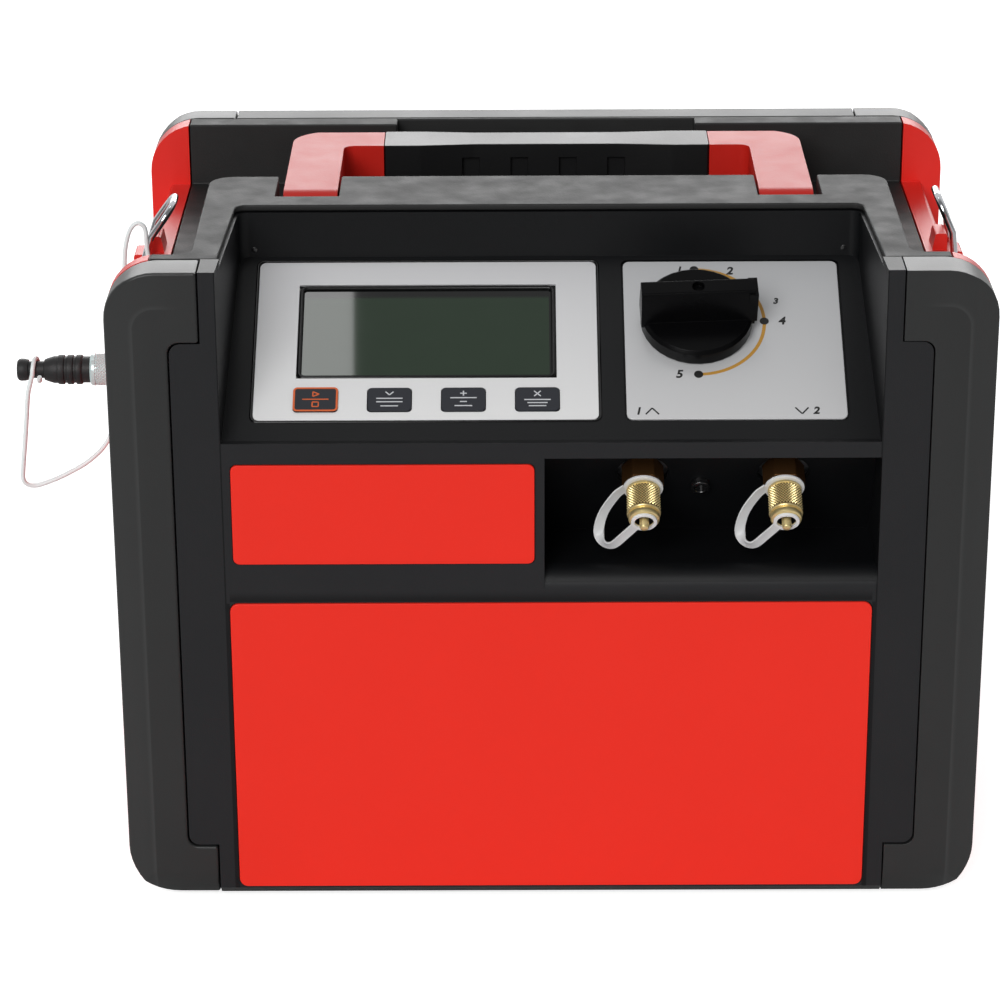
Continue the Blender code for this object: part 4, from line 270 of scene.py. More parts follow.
# %% White floor that keeps its shadow
FLOOR_HALF = 4.0
floor_mesh = bpy.data.meshes.new("floor")
floor_mesh.from_pydata([(-FLOOR_HALF, -FLOOR_HALF, 0.0), (FLOOR_HALF, -FLOOR_HALF, 0.0),
                        (FLOOR_HALF, FLOOR_HALF, 0.0), (-FLOOR_HALF, FLOOR_HALF, 0.0)],
                       [], [(0, 1, 2, 3)])
floor = link("floor", floor_mesh)
floor_paint = bpy.data.materials.new("floor_paint")
floor_paint.use_nodes = True
floor_paint.node_tree.nodes.clear()
floor_net = Net(floor_paint.node_tree)
floor_seen = floor_net.node("ShaderNodeLightPath", output="Is Camera Ray")
floor_matt = floor_net.node("ShaderNodeBsdfDiffuse", values={"Color": (0.82, 0.82, 0.82, 1.0)})
floor_lift = floor_net.node("ShaderNodeEmission", values={"Strength": floor_seen * 0.72})
floor_both = floor_net.node("ShaderNodeAddShader", values={0: floor_matt, 1: floor_lift})
floor_net.node("ShaderNodeOutputMaterial", values={"Surface": floor_both})
floor_mesh.materials.append(floor_paint)
print("floor", 2 * FLOOR_HALF, "m wide")

# %% White room, dimmer in front
world = bpy.data.worlds.new("studio")
bpy.context.scene.world = world
world.use_nodes = True
world.node_tree.nodes.clear()
room = Net(world.node_tree)
seen = room.node("ShaderNodeLightPath", output="Is Camera Ray")
mirrored = room.node("ShaderNodeLightPath", output="Is Glossy Ray")
through = room.node("ShaderNodeLightPath", output="Is Transmission Ray")
direction = room.node("ShaderNodeTexCoord", output="Generated")
backward = room.node("ShaderNodeSeparateXYZ", values={0: direction}, output="Y")
ROOM_FRONT_SHINE, ROOM_BACK_SHINE = 0.216, 0.8
ROOM_SIDE_LIGHT, ROOM_TOP_LIGHT = 0.496, 0.208
behind = room.node("ShaderNodeMapRange", values={
    "Value": backward, "From Min": -0.25, "From Max": 0.4,
    "To Min": ROOM_FRONT_SHINE, "To Max": ROOM_BACK_SHINE})
upward = room.node("ShaderNodeSeparateXYZ", values={0: direction}, output="Z")
walls = room.node("ShaderNodeMapRange", values={
    "Value": upward, "From Min": 0.0, "From Max": 0.9,
    "To Min": ROOM_SIDE_LIGHT, "To Max": ROOM_TOP_LIGHT})
soft = through + (1 - through) * walls
strength = seen + (1 - seen) * (mirrored * behind + (1 - mirrored) * soft)
backdrop = room.node("ShaderNodeBackground", values={
    "Color": (1.0, 1.0, 1.0, 1.0), "Strength": strength})
room.node("ShaderNodeOutputWorld", values={"Surface": backdrop})
bpy.context.scene.view_settings.view_transform = "Standard"
print("room light", ROOM_SIDE_LIGHT, "to", ROOM_TOP_LIGHT)

# %% Lamps
def aim(lamp, place, target):
    """Puts a lamp at a place, facing a target."""
    lamp.location = place
    lamp.rotation_euler = (Vector(target) - Vector(place)).to_track_quat("-Z", "Y").to_euler()


def light_panel(name, width, height, radiance, place, target):
    """A rectangular lamp of a given radiance that the camera doesn't see."""
    data = bpy.data.lights.new(name, "AREA")
    data.shape = "RECTANGLE"
    data.size = width
    data.size_y = height
    data.energy = radiance * math.pi * width * height
    lamp = link(name, data)
    lamp.visible_camera = False
    aim(lamp, place, target)
    return lamp


sun_data = bpy.data.lights.new("front_light", "SUN")
sun_data.energy = 1.75
sun_data.angle = math.radians(35.0)
sun = link("front_light", sun_data)
aim(sun, (-0.9, -2.4, 1.5), (0.0, 0.0, 0.0))
light_panel("rear_panel", 3.2, 1.2, 4.2, (0.0, 3.0, 1.35), (0.0, 0.0, 0.3))
CARD_X, CARD_Y = -0.259, 0.20
glass_card = light_panel("glass_card", 0.16, 0.40, 5.2, (CARD_X, CARD_Y, 2.2), (CARD_X, CARD_Y, 0.0))
glass_card.visible_diffuse = False
print("lamps", [item.name for item in bpy.data.lights])

# %% [markdown]
# ## Finishes
#
# Moulded plastic is never one flat colour. The steel mould leaves a fine grain, the gloss drifts
# a little over a big wall, and handling leaves it uneven. `moulded` makes that from two noises: a
# fine one for the grain, which goes to a Bump node, and a slow one for colour and gloss.

# %% Paint and plastic


def shade(red, green, blue):
    """A colour written as 0 to 255, made linear as Blender's sockets expect."""
    def linear(value):
        value /= 255.0
        return value / 12.92 if value <= 0.04045 else ((value + 0.055) / 1.055) ** 2.4
    return tuple(linear(value) for value in (red, green, blue))


class Finish(Net):
    """A material with one Principled shader, whose constants are set on its own sockets."""

    def __init__(self, name, **constants):
        self.material = bpy.data.materials.new(name)
        self.material.use_nodes = True
        super().__init__(self.material.node_tree)
        self.tree.nodes.clear()
        self.shader = self.tree.nodes.new("ShaderNodeBsdfPrincipled")
        out = self.tree.nodes.new("ShaderNodeOutputMaterial")
        self.tree.links.new(self.shader.outputs[0], out.inputs["Surface"])
        for key, value in constants.items():
            self.shader.inputs[key.replace("_", " ")].default_value = value
        self.place = self.node("ShaderNodeTexCoord", output="Object")

    def set(self, socket, value):
        self.feed(self.shader.inputs[socket], value)

    def part(self, axis, vector=None):
        """The X, Y or Z part of the place on the object, or of another vector."""
        return self.node("ShaderNodeSeparateXYZ", values={0: vector or self.place}, output=axis)

    def smooth_step(self, value, start, end, low=0.0, high=1.0):
        """Goes smoothly from low to high as the value goes from start to end."""
        return self.node("ShaderNodeMapRange", {"interpolation_type": "SMOOTHSTEP"}, {
            "Value": value, "From Min": start, "From Max": end, "To Min": low, "To Max": high})

    def noise(self, size, detail=2.0, stretch=None):
        """A noise whose blotches are about this many metres across."""
        vector = self.place
        if stretch:
            vector = self.node("ShaderNodeMapping", values={"Vector": vector, "Scale": stretch})
        return self.node("ShaderNodeTexNoise", values={
            "Vector": vector, "Scale": 1.0 / size, "Detail": detail})

    def blend(self, mask, low, high):
        """One colour where the mask is 0, the other where it is 1."""
        return self.node("ShaderNodeMix", {"data_type": "RGBA"}, {
            0: mask, 6: self.colour(low), 7: self.colour(high)}, output=2)

    def colour(self, value):
        return value if isinstance(value, Wire) else (*value, 1.0)

    def bump(self, height, depth):
        """Turns a height from 0 to 1 into a dent this many metres deep."""
        self.set("Normal", self.node("ShaderNodeBump", values={
            "Height": height, "Distance": depth, "Strength": 1.0}))


def scaled(colour, factor):
    return tuple(min(value * factor, 1.0) for value in colour)


def moulded(name, colour, roughness, grain=0.0007, depth=0.00005, drift=0.12, uneven=0.1, patch=0.045,
            **constants):
    """Moulded plastic or paint with a fine grain and slightly uneven colour and gloss."""
    finish = Finish(name, **constants)
    slow = finish.noise(patch, 4.0)
    fine = finish.noise(grain, 2.0)
    finish.set("Base Color", finish.blend(slow, scaled(colour, 1 - drift), scaled(colour, 1 + drift)))
    finish.set("Roughness", roughness - uneven / 2 + slow * uneven)
    finish.bump(fine, depth)
    return finish.material


cover_black = moulded("cover_black", shade(36, 37, 37), 0.44, depth=0.00004, Specular_IOR_Level=0.43)
housing_black = moulded("housing_black", shade(34, 34, 34), 0.58, grain=0.0010, depth=0.00009,
                        uneven=0.30, patch=0.011, Specular_IOR_Level=0.34)
knob_black = moulded("knob_black", shade(8, 8, 9), 0.26, depth=0.00002, Specular_IOR_Level=0.09)
lip_black = moulded("lip_black", shade(7, 7, 8), 0.16, depth=0.00001, Specular_IOR_Level=0.35)
screw_black = moulded("screw_black", shade(20, 20, 21), 0.22, depth=0.00001, Specular_IOR_Level=0.9)
case_red = moulded("case_red", shade(230, 36, 26), 0.38, depth=0.00004, drift=0.04)
handle_red = moulded("handle_red", shade(196, 34, 25), 0.40, depth=0.00004, drift=0.04,
                     uneven=0.16, patch=0.014, Specular_IOR_Level=0.29)
sticker_red = moulded("sticker_red", shade(244, 47, 33), 0.32, grain=0.0004, depth=0.00001, drift=0.02,
                      Specular_IOR_Level=0.25)
grip_rubber = moulded("grip_rubber", shade(13, 13, 14), 0.40, depth=0.00005)
soft_rubber = moulded("soft_rubber", shade(24, 24, 25), 0.55, depth=0.00006)
key_grey = moulded("key_grey", shade(46, 48, 54), 0.42, grain=0.0004, depth=0.00001,
                   Specular_IOR_Level=0.25)
key_rim = moulded("key_rim", shade(226, 104, 48), 0.45, grain=0.0004, depth=0.00001, drift=0.03)
print_black = moulded("print_black", shade(20, 20, 20), 0.55, grain=0.0003, depth=0.00001)
print_ochre = moulded("print_ochre", shade(192, 142, 56), 0.5, grain=0.0003, depth=0.00001)
print_white = moulded("print_white", shade(214, 216, 220), 0.5, grain=0.0003, depth=0.00001, drift=0.02)
print("plastics and inks", len(bpy.data.materials))

# %% [markdown]
# The centre moulding is painted darker inside its two recesses than on its front strips: a painted
# shade for the light that the recesses lose. Its front faces all lie in one plane, so a comparison
# on Y picks them. The red panel sits in a seat of painted shade: a narrow dark seam beside it, and a
# painted shadow on the shelf above it that darkens softly. Comparisons with the panel's own box
# place both. The guards have a real fold along their outer edge that turns in under the round
# corner: a rounded distance from the fold's corner draws a painted highlight along it and paints the
# strip outside it lighter, as if lit.

# %% Two blacks for the centre and the guards, with painted shade and painted light
FRONT_FACE_Y = -0.1302
FOLD_X, FOLD_HIGH, FOLD_ROUND = 0.187, 0.2985, 0.010
FOLD_LIT_STRIP_EDGE, FOLD_HIGHLIGHT_EDGE, FOLD_HIGHLIGHT_SHARE = (-0.0002, 0.0022), (-0.0008, 0.0), 0.7
FOLD_FADE = (FOLD_X - 2.4 * FOLD_ROUND, FOLD_X - 0.7 * FOLD_ROUND)
SEAM_START, SEAM_WIDTH, SHELF_LINE, SHELF_TALL = 0.0015, 0.0022, 0.0008, 0.0065


def centre_black_painted_shade():
    """Painted shade: darker in the recesses and in a seat round the panel, lighter on the front strips."""
    finish = Finish("centre_black", Specular_IOR_Level=0.25)
    sideways, height = abs(finish.part("X")), finish.part("Z")
    slow = finish.noise(0.045, 4.0)
    fine = finish.noise(0.0007, 2.0)
    # The recess colour is painted shade, darker than the front strips' colour.
    recess_shade = finish.blend(slow, shade(12, 13, 15), shade(15, 16, 18))
    outside = finish.blend(slow, shade(32, 33, 35), shade(37, 37, 39))
    _, panel_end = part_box("front_panel")
    # Painted shade in a narrow seam beside the panel, and a painted shadow fading up the shelf above it.
    seat_shade = (sideways > panel_end[0]) * (sideways < panel_end[0] + SEAM_WIDTH) * (height < panel_end[2])
    seam_shade = (sideways > panel_end[0] + SEAM_START) * (sideways < panel_end[0] + SEAM_WIDTH)
    shelf_shadow = finish.smooth_step(height, panel_end[2] + SHELF_LINE, panel_end[2] + SHELF_TALL, 1.0, 0.0)
    shaded = seat_shade + seam_shade + shelf_shadow * (sideways < panel_end[0]) * (height > panel_end[2] + SHELF_LINE)
    front = finish.blend(shaded, outside, shade(14, 15, 17))
    finish.set("Base Color", finish.blend(finish.part("Y") < FRONT_FACE_Y, recess_shade, front))
    finish.set("Roughness", 0.38 + slow * 0.1)
    finish.bump(fine, 0.00005)
    return finish.material


def guard_black_painted_light():
    """Guard plastic with painted light: a painted highlight along the fold, and the strip outside it painted
    lighter.
    """
    finish = Finish("guard_black")
    sideways = abs(finish.part("X"))
    past_x = (sideways - (FOLD_X - FOLD_ROUND)).above_zero()
    past_z = (finish.part("Z") - (FOLD_HIGH - FOLD_ROUND)).above_zero()
    away = finish.node("ShaderNodeMath", {"operation": "SQRT"}, {0: past_x * past_x + past_z * past_z})
    lit_strip, line = (finish.smooth_step(away, FOLD_ROUND + start, FOLD_ROUND + end)
                   for start, end in (FOLD_LIT_STRIP_EDGE, FOLD_HIGHLIGHT_EDGE))
    near = finish.smooth_step(sideways, *FOLD_FADE)
    slow = finish.noise(0.045, 4.0)
    fine = finish.noise(0.0007, 2.0)
    # The strip outside the fold is painted lighter, as if lit, and the fold gets a painted highlight.
    inner = finish.blend(slow, shade(34, 35, 35), shade(38, 39, 39))
    outer = finish.blend(slow, shade(38, 39, 39), shade(42, 43, 43))
    both = finish.blend(near * lit_strip, inner, outer)
    fold_highlight = near * line * (1 - lit_strip) * FOLD_HIGHLIGHT_SHARE
    finish.set("Base Color", finish.blend(fold_highlight, both, shade(56, 57, 57)))
    finish.set("Roughness", 0.35 + slow * 0.1)
    finish.bump(fine, 0.00004)
    return finish.material


centre_black = centre_black_painted_shade()
guard_black = guard_black_painted_light()
print("centre and guard mouldings ready")

# %% [markdown]
# The two instrument plates are satin silver foil on plastic. The foil's brushing runs across the
# plate, so its noise is stretched along X. The round metal pieces get the same idea: a metallic
# shader whose roughness follows a noise, so the shine breaks up as on a turned or cast part.

# %% Foil and metals


def metal(name, colour, roughness, spread=0.12, size=0.004, depth=0.00001, **constants):
    """Bare or plated metal with a broken-up shine."""
    finish = Finish(name, **constants)
    slow = finish.noise(size * 8, 3.0)
    fine = finish.noise(size, 3.0)
    finish.set("Base Color", finish.blend(slow, scaled(colour, 0.9), colour))
    finish.set("Roughness", roughness - spread / 2 + fine * spread)
    finish.bump(fine, depth)
    return finish.material


# The foil is painted lighter towards the foot of the slope, a painted reflection.
PLATE_FOOT_Z, PLATE_RISE = 0.238, 0.045


def foil(name, low, high):
    """Brushed foil with a painted reflection: lighter at the foot of the slope than at its top."""
    finish = Finish(name, Metallic=0.25)
    fine = finish.noise(0.0006, 3.0, (0.06, 1.0, 1.0))
    painted_reflection_rise = (finish.part("Z") - PLATE_FOOT_Z) * (1 / PLATE_RISE)
    finish.set("Base Color", finish.blend(painted_reflection_rise, low, high))
    finish.set("Roughness", 0.38 + fine * 0.08)
    finish.bump(fine, 0.000004)
    return finish.material


silver_foil = foil("silver_foil", shade(242, 242, 242), shade(216, 216, 218))
dial_foil = foil("dial_foil", shade(218, 218, 219), shade(196, 197, 199))
brass_metal = metal("brass_metal", shade(250, 228, 166), 0.36, Metallic=0.8)
chrome_metal = metal("chrome_metal", shade(214, 216, 220), 0.12, 0.06, Metallic=1.0)
# The hex fittings' brass is painted dark, a painted shade for the shadow under the recess's top.
aged_brass = metal("aged_brass", shade(116, 80, 46), 0.42, Metallic=0.8)
# The brass under the knurl's teeth is darker, a painted shade in the grooves between them.
groove_brass = metal("groove_brass", shade(112, 78, 34), 0.5, Metallic=0.8)
# The nickel's base colour is tinted cyan, painted to cancel the red light reflected onto it from the red
# side.
nickel_metal = metal("nickel_metal", shade(220, 239, 239), 0.30, Metallic=0.3)
steel_metal = metal("steel_metal", shade(158, 160, 164), 0.4, Metallic=0.9)
cast_metal = metal("cast_metal", shade(168, 170, 172), 0.5, 0.2, 0.0016, 0.0001, Metallic=0.85)
copper_metal = metal("copper_metal", shade(205, 122, 84), 0.3, Metallic=1.0)
print("metals ready")

# %% [markdown]
# The display's window is dark green glass over a black frame. Only its position on the slope is
# needed to paint the frame, so a Mapping node turns the coordinates level with the slope,
# comparisons make the border and a smooth step paints a shadow of the frame across its top. The
# nylon lets some light through and stays milky.

# %% Glass, nylon and the circuit board
SLOPE_ANGLE = math.radians(31.0)
SLOPE_ORIGIN = Vector((0.0, -0.127, 0.2335))
SLOPE = Matrix.Translation(SLOPE_ORIGIN) @ Matrix.Rotation(SLOPE_ANGLE, 4, "X")
PANE_LEFT, PANE_RIGHT, PANE_LOW, PANE_HIGH = -0.1166, 0.0030, 0.0362, 0.0923
PANE_BORDER = 0.0016
PANE_SHADE_START, PANE_SHADE_END = PANE_HIGH - 5 * PANE_BORDER, PANE_HIGH - 3.4 * PANE_BORDER


def pane_glass():
    """Dark green inside a black border, with a painted shadow of the frame across its top."""
    finish = Finish("pane_glass", Roughness=0.03, Specular_IOR_Level=0.45)
    level = finish.node("ShaderNodeMapping", {"vector_type": "TEXTURE"}, {
        "Vector": finish.place, "Location": SLOPE_ORIGIN, "Rotation": (SLOPE_ANGLE, 0.0, 0.0)})
    across, along = finish.part("X", level), finish.part("Y", level)
    clear_x = (across > PANE_LEFT + PANE_BORDER) * (across < PANE_RIGHT - 2 * PANE_BORDER)
    shaded_top = finish.smooth_step(along, PANE_SHADE_START, PANE_SHADE_END, 1.0, 0.0)
    clear_y = (along > PANE_LOW + PANE_BORDER / 2) * shaded_top
    cells = finish.noise(0.03, 2.0)
    green = finish.blend(cells, shade(29, 48, 31), shade(36, 54, 38))
    finish.set("Base Color", finish.blend(clear_x * clear_y, shade(12, 13, 13), green))
    return finish.material


def nylon(name, clearness, low, high):
    """Cloudy plastic that lets a share of the light through."""
    finish = Finish(name, Roughness=0.32, IOR=1.46, Transmission_Weight=clearness)
    cloud = finish.noise(0.006, 3.0)
    finish.set("Base Color", finish.blend(cloud, low, high))
    finish.bump(finish.noise(0.0008), 0.00002)
    return finish.material


def board():
    """Green lacquer with rows of tinned tracks."""
    finish = Finish("board", Roughness=0.45)
    tracks = finish.node("ShaderNodeTexBrick", values={
        "Vector": finish.place, "Color1": (*shade(20, 92, 52), 1.0), "Color2": (*shade(16, 78, 46), 1.0),
        "Mortar": (*shade(148, 128, 70), 1.0), "Scale": 90.0, "Mortar Size": 0.012})
    finish.set("Base Color", tracks)
    finish.bump(finish.noise(0.002), 0.0001)
    return finish.material


glass = pane_glass()
milky_nylon = nylon("milky_nylon", 0.3, shade(232, 234, 236), shade(250, 250, 250))
ring_nylon = nylon("ring_nylon", 0.08, shade(242, 244, 246), shade(252, 252, 252))
# The line's colours are tinted cyan, painted to cancel the red light reflected onto it from the red side.
line_nylon = nylon("line_nylon", 0.04, shade(240, 248, 248), shade(247, 253, 253))
green_board = board()
screen_dark = moulded("screen_dark", shade(28, 34, 31), 0.3, depth=0.00001)
tether_curve.materials.append(line_nylon)
print("materials", len(bpy.data.materials))

# %% [markdown]
# ## Every solid gets its finish
#
# The frame names a slot for each solid, such as "brass" or "rubber". One table turns a slot into
# the finish above, and a second table names the few solids that look different from the rest of
# their slot, such as the smoother corner guards.

# %% Paint the frame's own solids
SLOT_FINISH = {
    "black_plastic": centre_black, "red_plastic": case_red, "red_film": sticker_red,
    "silver_plate": silver_foil, "lcd_glass": glass, "dark_display": screen_dark,
    "circuit_board": green_board, "grey_key": key_grey, "brass": brass_metal,
    "chrome": chrome_metal, "clear_nylon": milky_nylon, "rubber": soft_rubber,
    "steel": steel_metal, "aluminium": cast_metal, "copper": copper_metal,
}
OWN_FINISH = {
    "front_guard_left": guard_black, "front_guard_right": guard_black,
    "rear_guard_left": guard_black, "rear_guard_right": guard_black,
    "inlet_fitting": aged_brass, "outlet_fitting": aged_brass, "valve_plate": dial_foil,
    "main_housing": housing_black, "rear_cover": cover_black, "selector_knob": knob_black,
    "handle_frame": handle_red, "handle_grip": grip_rubber,
    "plug_nut": nickel_metal, "sensor_socket": nickel_metal,
}
node_slot = {}
for node_name, solid in nodes.items():
    node_slot[node_name] = solid.data.materials[0].name
    solid.material_slots[0].material = OWN_FINISH.get(node_name, SLOT_FINISH[node_slot[node_name]])
print("painted", len(node_slot), "solids in", len(set(node_slot.values())), "slots")

# %% [markdown]
# ## Rounded edges
#
# No real moulding has knife edges. A small radius along each edge catches a thin line of light,
# and that line tells the eye that the piece is moulded. The solid's mesh is copied, its triangles
# are merged back into flat faces, and a Bevel modifier rounds the corners. A Weighted Normal
# modifier then keeps the flat faces flat in the shading. On a corner guard the slanted strip along
# the outer edge has to run on up into the round corner, so `run_fold_out` cuts the copy along the
# strip's inner line and moves the points outside it back to the slant.

# %% Round a copy of a solid
TINY = 0.00002


def merge_faces(shape, weld):
    """Joins loose triangles into whole flat faces."""
    bmesh.ops.remove_doubles(shape, verts=shape.verts, dist=weld)
    bmesh.ops.dissolve_degenerate(shape, edges=shape.edges, dist=TINY)
    bmesh.ops.dissolve_limit(shape, angle_limit=math.radians(1.0), verts=shape.verts, edges=shape.edges,
                             use_dissolve_boundaries=False)


def merged_copy(node_name):
    """The solid's mesh with whole flat faces."""
    mesh = nodes[node_name].data.copy()
    shape = bmesh.new()
    shape.from_mesh(mesh)
    merge_faces(shape, TINY)
    shape.to_mesh(mesh)
    shape.free()
    return mesh


def plain(piece, name=None):
    """The piece with its modifiers turned into an ordinary mesh object."""
    graph = bpy.context.evaluated_depsgraph_get()
    mesh = bpy.data.meshes.new_from_object(piece.evaluated_get(graph))
    done = link(name or piece.name + "_done", mesh)
    bpy.data.objects.remove(piece)
    return done


def dress(piece, finish):
    """Gives the whole piece one finish."""
    piece.data.materials.clear()
    piece.data.materials.append(finish)
    return piece


def settle(piece, body, slot, *replaced):
    """Lets a finished piece ride on its body and stand for its solids."""
    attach(piece, body)
    if replaced:
        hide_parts(*replaced)
    return piece


EDGE_SEGMENTS, EDGE_ANGLE = 2, math.radians(28.0)


def round_edges(piece, width):
    """Adds the modifiers that round the edges of a piece."""
    for face in piece.data.polygons:
        face.use_smooth = True
    bevel = piece.modifiers.new("Round", "BEVEL")
    bevel.width = width
    bevel.segments = EDGE_SEGMENTS
    bevel.limit_method = "ANGLE"
    bevel.angle_limit = EDGE_ANGLE
    bevel.use_clamp_overlap = True
    normals = piece.modifiers.new("Flat faces", "WEIGHTED_NORMAL")
    normals.weight = 100
    return piece


FOLD_REACH, FOLD_DEPTH, FOLD_TOP, GUARD_FACE_Y = 0.013, 0.006, 0.293, 0.132


def run_fold_out(mesh, facing):
    """Carries the slanted strip along a guard's outer edge up into its round corner."""
    shape = bmesh.new()
    shape.from_mesh(mesh)
    for side in (-1.0, 1.0):
        everything = shape.verts[:] + shape.edges[:] + shape.faces[:]
        bmesh.ops.bisect_plane(shape, geom=everything, dist=TINY, plane_co=(side * FOLD_X, 0.0, 0.0),
                               plane_no=(1.0, 0.0, 0.0))
    for vert in shape.verts:
        over = abs(vert.co.x) - FOLD_X
        on_face = abs(vert.co.y - facing * GUARD_FACE_Y) < TINY
        if over > 0.0 and on_face and vert.co.z > FOLD_TOP - TINY:
            vert.co.y -= facing * FOLD_DEPTH * over / FOLD_REACH
    merge_faces(shape, 10 * TINY)
    shape.to_mesh(mesh)
    shape.free()


def soften(node_name, width):
    """Replaces a solid by a copy with rounded edges."""
    draft = link(node_name + "_draft", merged_copy(node_name))
    if "_guard_" in node_name:
        run_fold_out(draft.data, -1.0 if node_name.startswith("front") else 1.0)
    piece = plain(round_edges(draft, width), node_name + "_moulding")
    dress(piece, nodes[node_name].material_slots[0].material)
    return settle(piece, nodes[node_name]["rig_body"], node_slot[node_name], node_name)


EDGE_RADII = {
    "front_fascia": 0.0008, "main_housing": 0.0010, "rear_cover": 0.0010,
    "front_guard_left": 0.0012, "front_guard_right": 0.0012,
    "rear_guard_left": 0.0012, "rear_guard_right": 0.0012,
    "left_side_shell": 0.0010, "right_side_shell": 0.0010, "handle_frame": 0.0012,
    "front_panel": 0.0005, "label_plate": 0.0004, "display_bezel": 0.0003, "valve_plate": 0.0003,
    "key_1": 0.0003, "key_2": 0.0003, "key_3": 0.0003, "key_4": 0.0003,
    "selector_knob": 0.0006, "foot_front_left": 0.0006, "foot_front_right": 0.0006,
    "foot_rear_left": 0.0006, "foot_rear_right": 0.0006, "power_inlet": 0.0006,
    "inlet_fitting": 0.0005, "outlet_fitting": 0.0005,
}
for node_name, radius in EDGE_RADII.items():
    moulding = soften(node_name, radius)
    print(node_name, "faces", len(moulding.data.polygons))

# %% [markdown]
# ## Print on the dial plate
#
# The plate round the knob carries a printed scale: a dot at each end and in the middle, an ochre
# arc for the working range and two thin arrows for the ports below. Ink has almost no thickness,
# so each mark is a very thin raised shape on the plate. Plain numbers mark the positions.

# %% Thin printed shapes
INK = 0.00005
PLATE_TOP = 0.0
DIAL_X, DIAL_S, DIAL_RADIUS = 0.068, 0.0693, 0.0315
DOT_RADIUS, ARC_WIDTH = 0.0021, 0.0016


def disc(x, s, radius, steps=28):
    """The outline of a round dot."""
    return [(x + radius * math.cos(math.tau * i / steps), s + radius * math.sin(math.tau * i / steps))
            for i in range(steps)]


def arc_band(x, s, radius, width, start, end, steps=40):
    """The outline of a curved band, its angles in degrees from the right-hand side."""
    angles = [math.radians(start + (end - start) * i / steps) for i in range(steps + 1)]
    outer = [(x + (radius + width / 2) * math.cos(a), s + (radius + width / 2) * math.sin(a))
             for a in angles]
    inner = [(x + (radius - width / 2) * math.cos(a), s + (radius - width / 2) * math.sin(a))
             for a in reversed(angles)]
    return outer + inner


def stroke(a, b, width):
    """The outline of a straight line of some width."""
    a, b = Vector(a), Vector(b)
    side = (b - a).normalized().orthogonal() * width / 2
    return [tuple(a + side), tuple(a - side), tuple(b - side), tuple(b + side)]


def outward_mesh(name, shape, finish):
    """The built shape as a mesh with its faces pointing out."""
    bmesh.ops.recalc_face_normals(shape, faces=shape.faces)
    mesh = bpy.data.meshes.new(name)
    shape.to_mesh(mesh)
    shape.free()
    mesh.materials.append(finish)
    return mesh


def printed(name, outlines, base, finish, body, slot, height=INK):
    """Outlines on the slope as thin raised ink, one piece."""
    shape = bmesh.new()
    for outline in outlines:
        low = [shape.verts.new(SLOPE @ Vector((x, s, base))) for x, s in outline]
        high = [shape.verts.new(SLOPE @ Vector((x, s, base + height))) for x, s in outline]
        shape.faces.new(high)
        shape.faces.new(list(reversed(low)))
        for i in range(len(outline)):
            j = (i + 1) % len(outline)
            shape.faces.new((low[i], low[j], high[j], high[i]))
    return settle(link(name, outward_mesh(name, shape, finish)), body, slot)


dots = [disc(DIAL_X + DIAL_RADIUS * math.cos(math.radians(a)),
             DIAL_S + DIAL_RADIUS * math.sin(math.radians(a)), DOT_RADIUS) for a in (90.0, 0.0, -90.0)]
ARROW_HALF, ARROW_HEIGHT, ARROW_LINE = 0.0030, 0.0036, 0.0007
UP_ARROW, DOWN_ARROW = (0.0462, 0.0182), (0.1143, 0.0146)
arrows = []
for (x, s), way in ((UP_ARROW, -1), (DOWN_ARROW, 1)):
    for half in (-ARROW_HALF, ARROW_HALF):
        arrows.append(stroke((x + half, s + way * ARROW_HEIGHT), (x, s), ARROW_LINE))
printed("dial_dots", dots + arrows, PLATE_TOP, print_black, "machine", "silver_plate", 2 * INK)
printed("dial_arc", [arc_band(DIAL_X, DIAL_S, DIAL_RADIUS, ARC_WIDTH, -90.0, 90.0)],
        PLATE_TOP, print_ochre, "machine", "silver_plate")
print("dots", len(dots), "arrow strokes", len(arrows))

# %% Numbers beside the dots
INK_SPREAD, SLANT = 0.0002, 0.2
ARROW_NUMBER_GAP, ARROW_NUMBER_S, ARROW_NUMBER_SIZE = 0.0064, -0.0530, 0.0056


def number(name, text, x, s, size):
    """One plain number printed on the slope."""
    curve = bpy.data.curves.new(name, "FONT")
    curve.body = text
    curve.size = size
    curve.extrude = INK
    curve.offset = INK_SPREAD
    curve.shear = SLANT
    curve.align_x = "CENTER"
    curve.align_y = "CENTER"
    curve.resolution_u = 4
    piece = plain(link(name + "_draft", curve), name)
    piece.data.transform(SLOPE @ Matrix.Translation((x, s, PLATE_TOP + INK)))
    return settle(dress(piece, print_black), "machine", "silver_plate")


DIAL_NUMBERS = (
    ("1", -0.0070, 0.0315, 0.0046), ("2", 0.0165, 0.0305, 0.0062), ("3", 0.0372, 0.0120, 0.0046),
    ("4", 0.0395, 0.0000, 0.0062), ("5", -0.0090, -0.0315, 0.0062),
    ("1", UP_ARROW[0] - DIAL_X - ARROW_NUMBER_GAP, ARROW_NUMBER_S, ARROW_NUMBER_SIZE),
    ("2", DOWN_ARROW[0] - DIAL_X + ARROW_NUMBER_GAP, ARROW_NUMBER_S, ARROW_NUMBER_SIZE),
)
for count, (text, x, s, size) in enumerate(DIAL_NUMBERS):
    number(f"dial_number_{count + 1}", text, DIAL_X + x, DIAL_S + s, size)
print("numbers", len(DIAL_NUMBERS))

# %% [markdown]
# ## Marks on the keys
#
# Four keys sit under the display. The first is the start and stop key, with an orange rim and
# signs, and the rest have pale signs. All the signs are plain lines, built with the same thin
# shapes as the scale and riding on their key, so that they move with it when it is pressed.

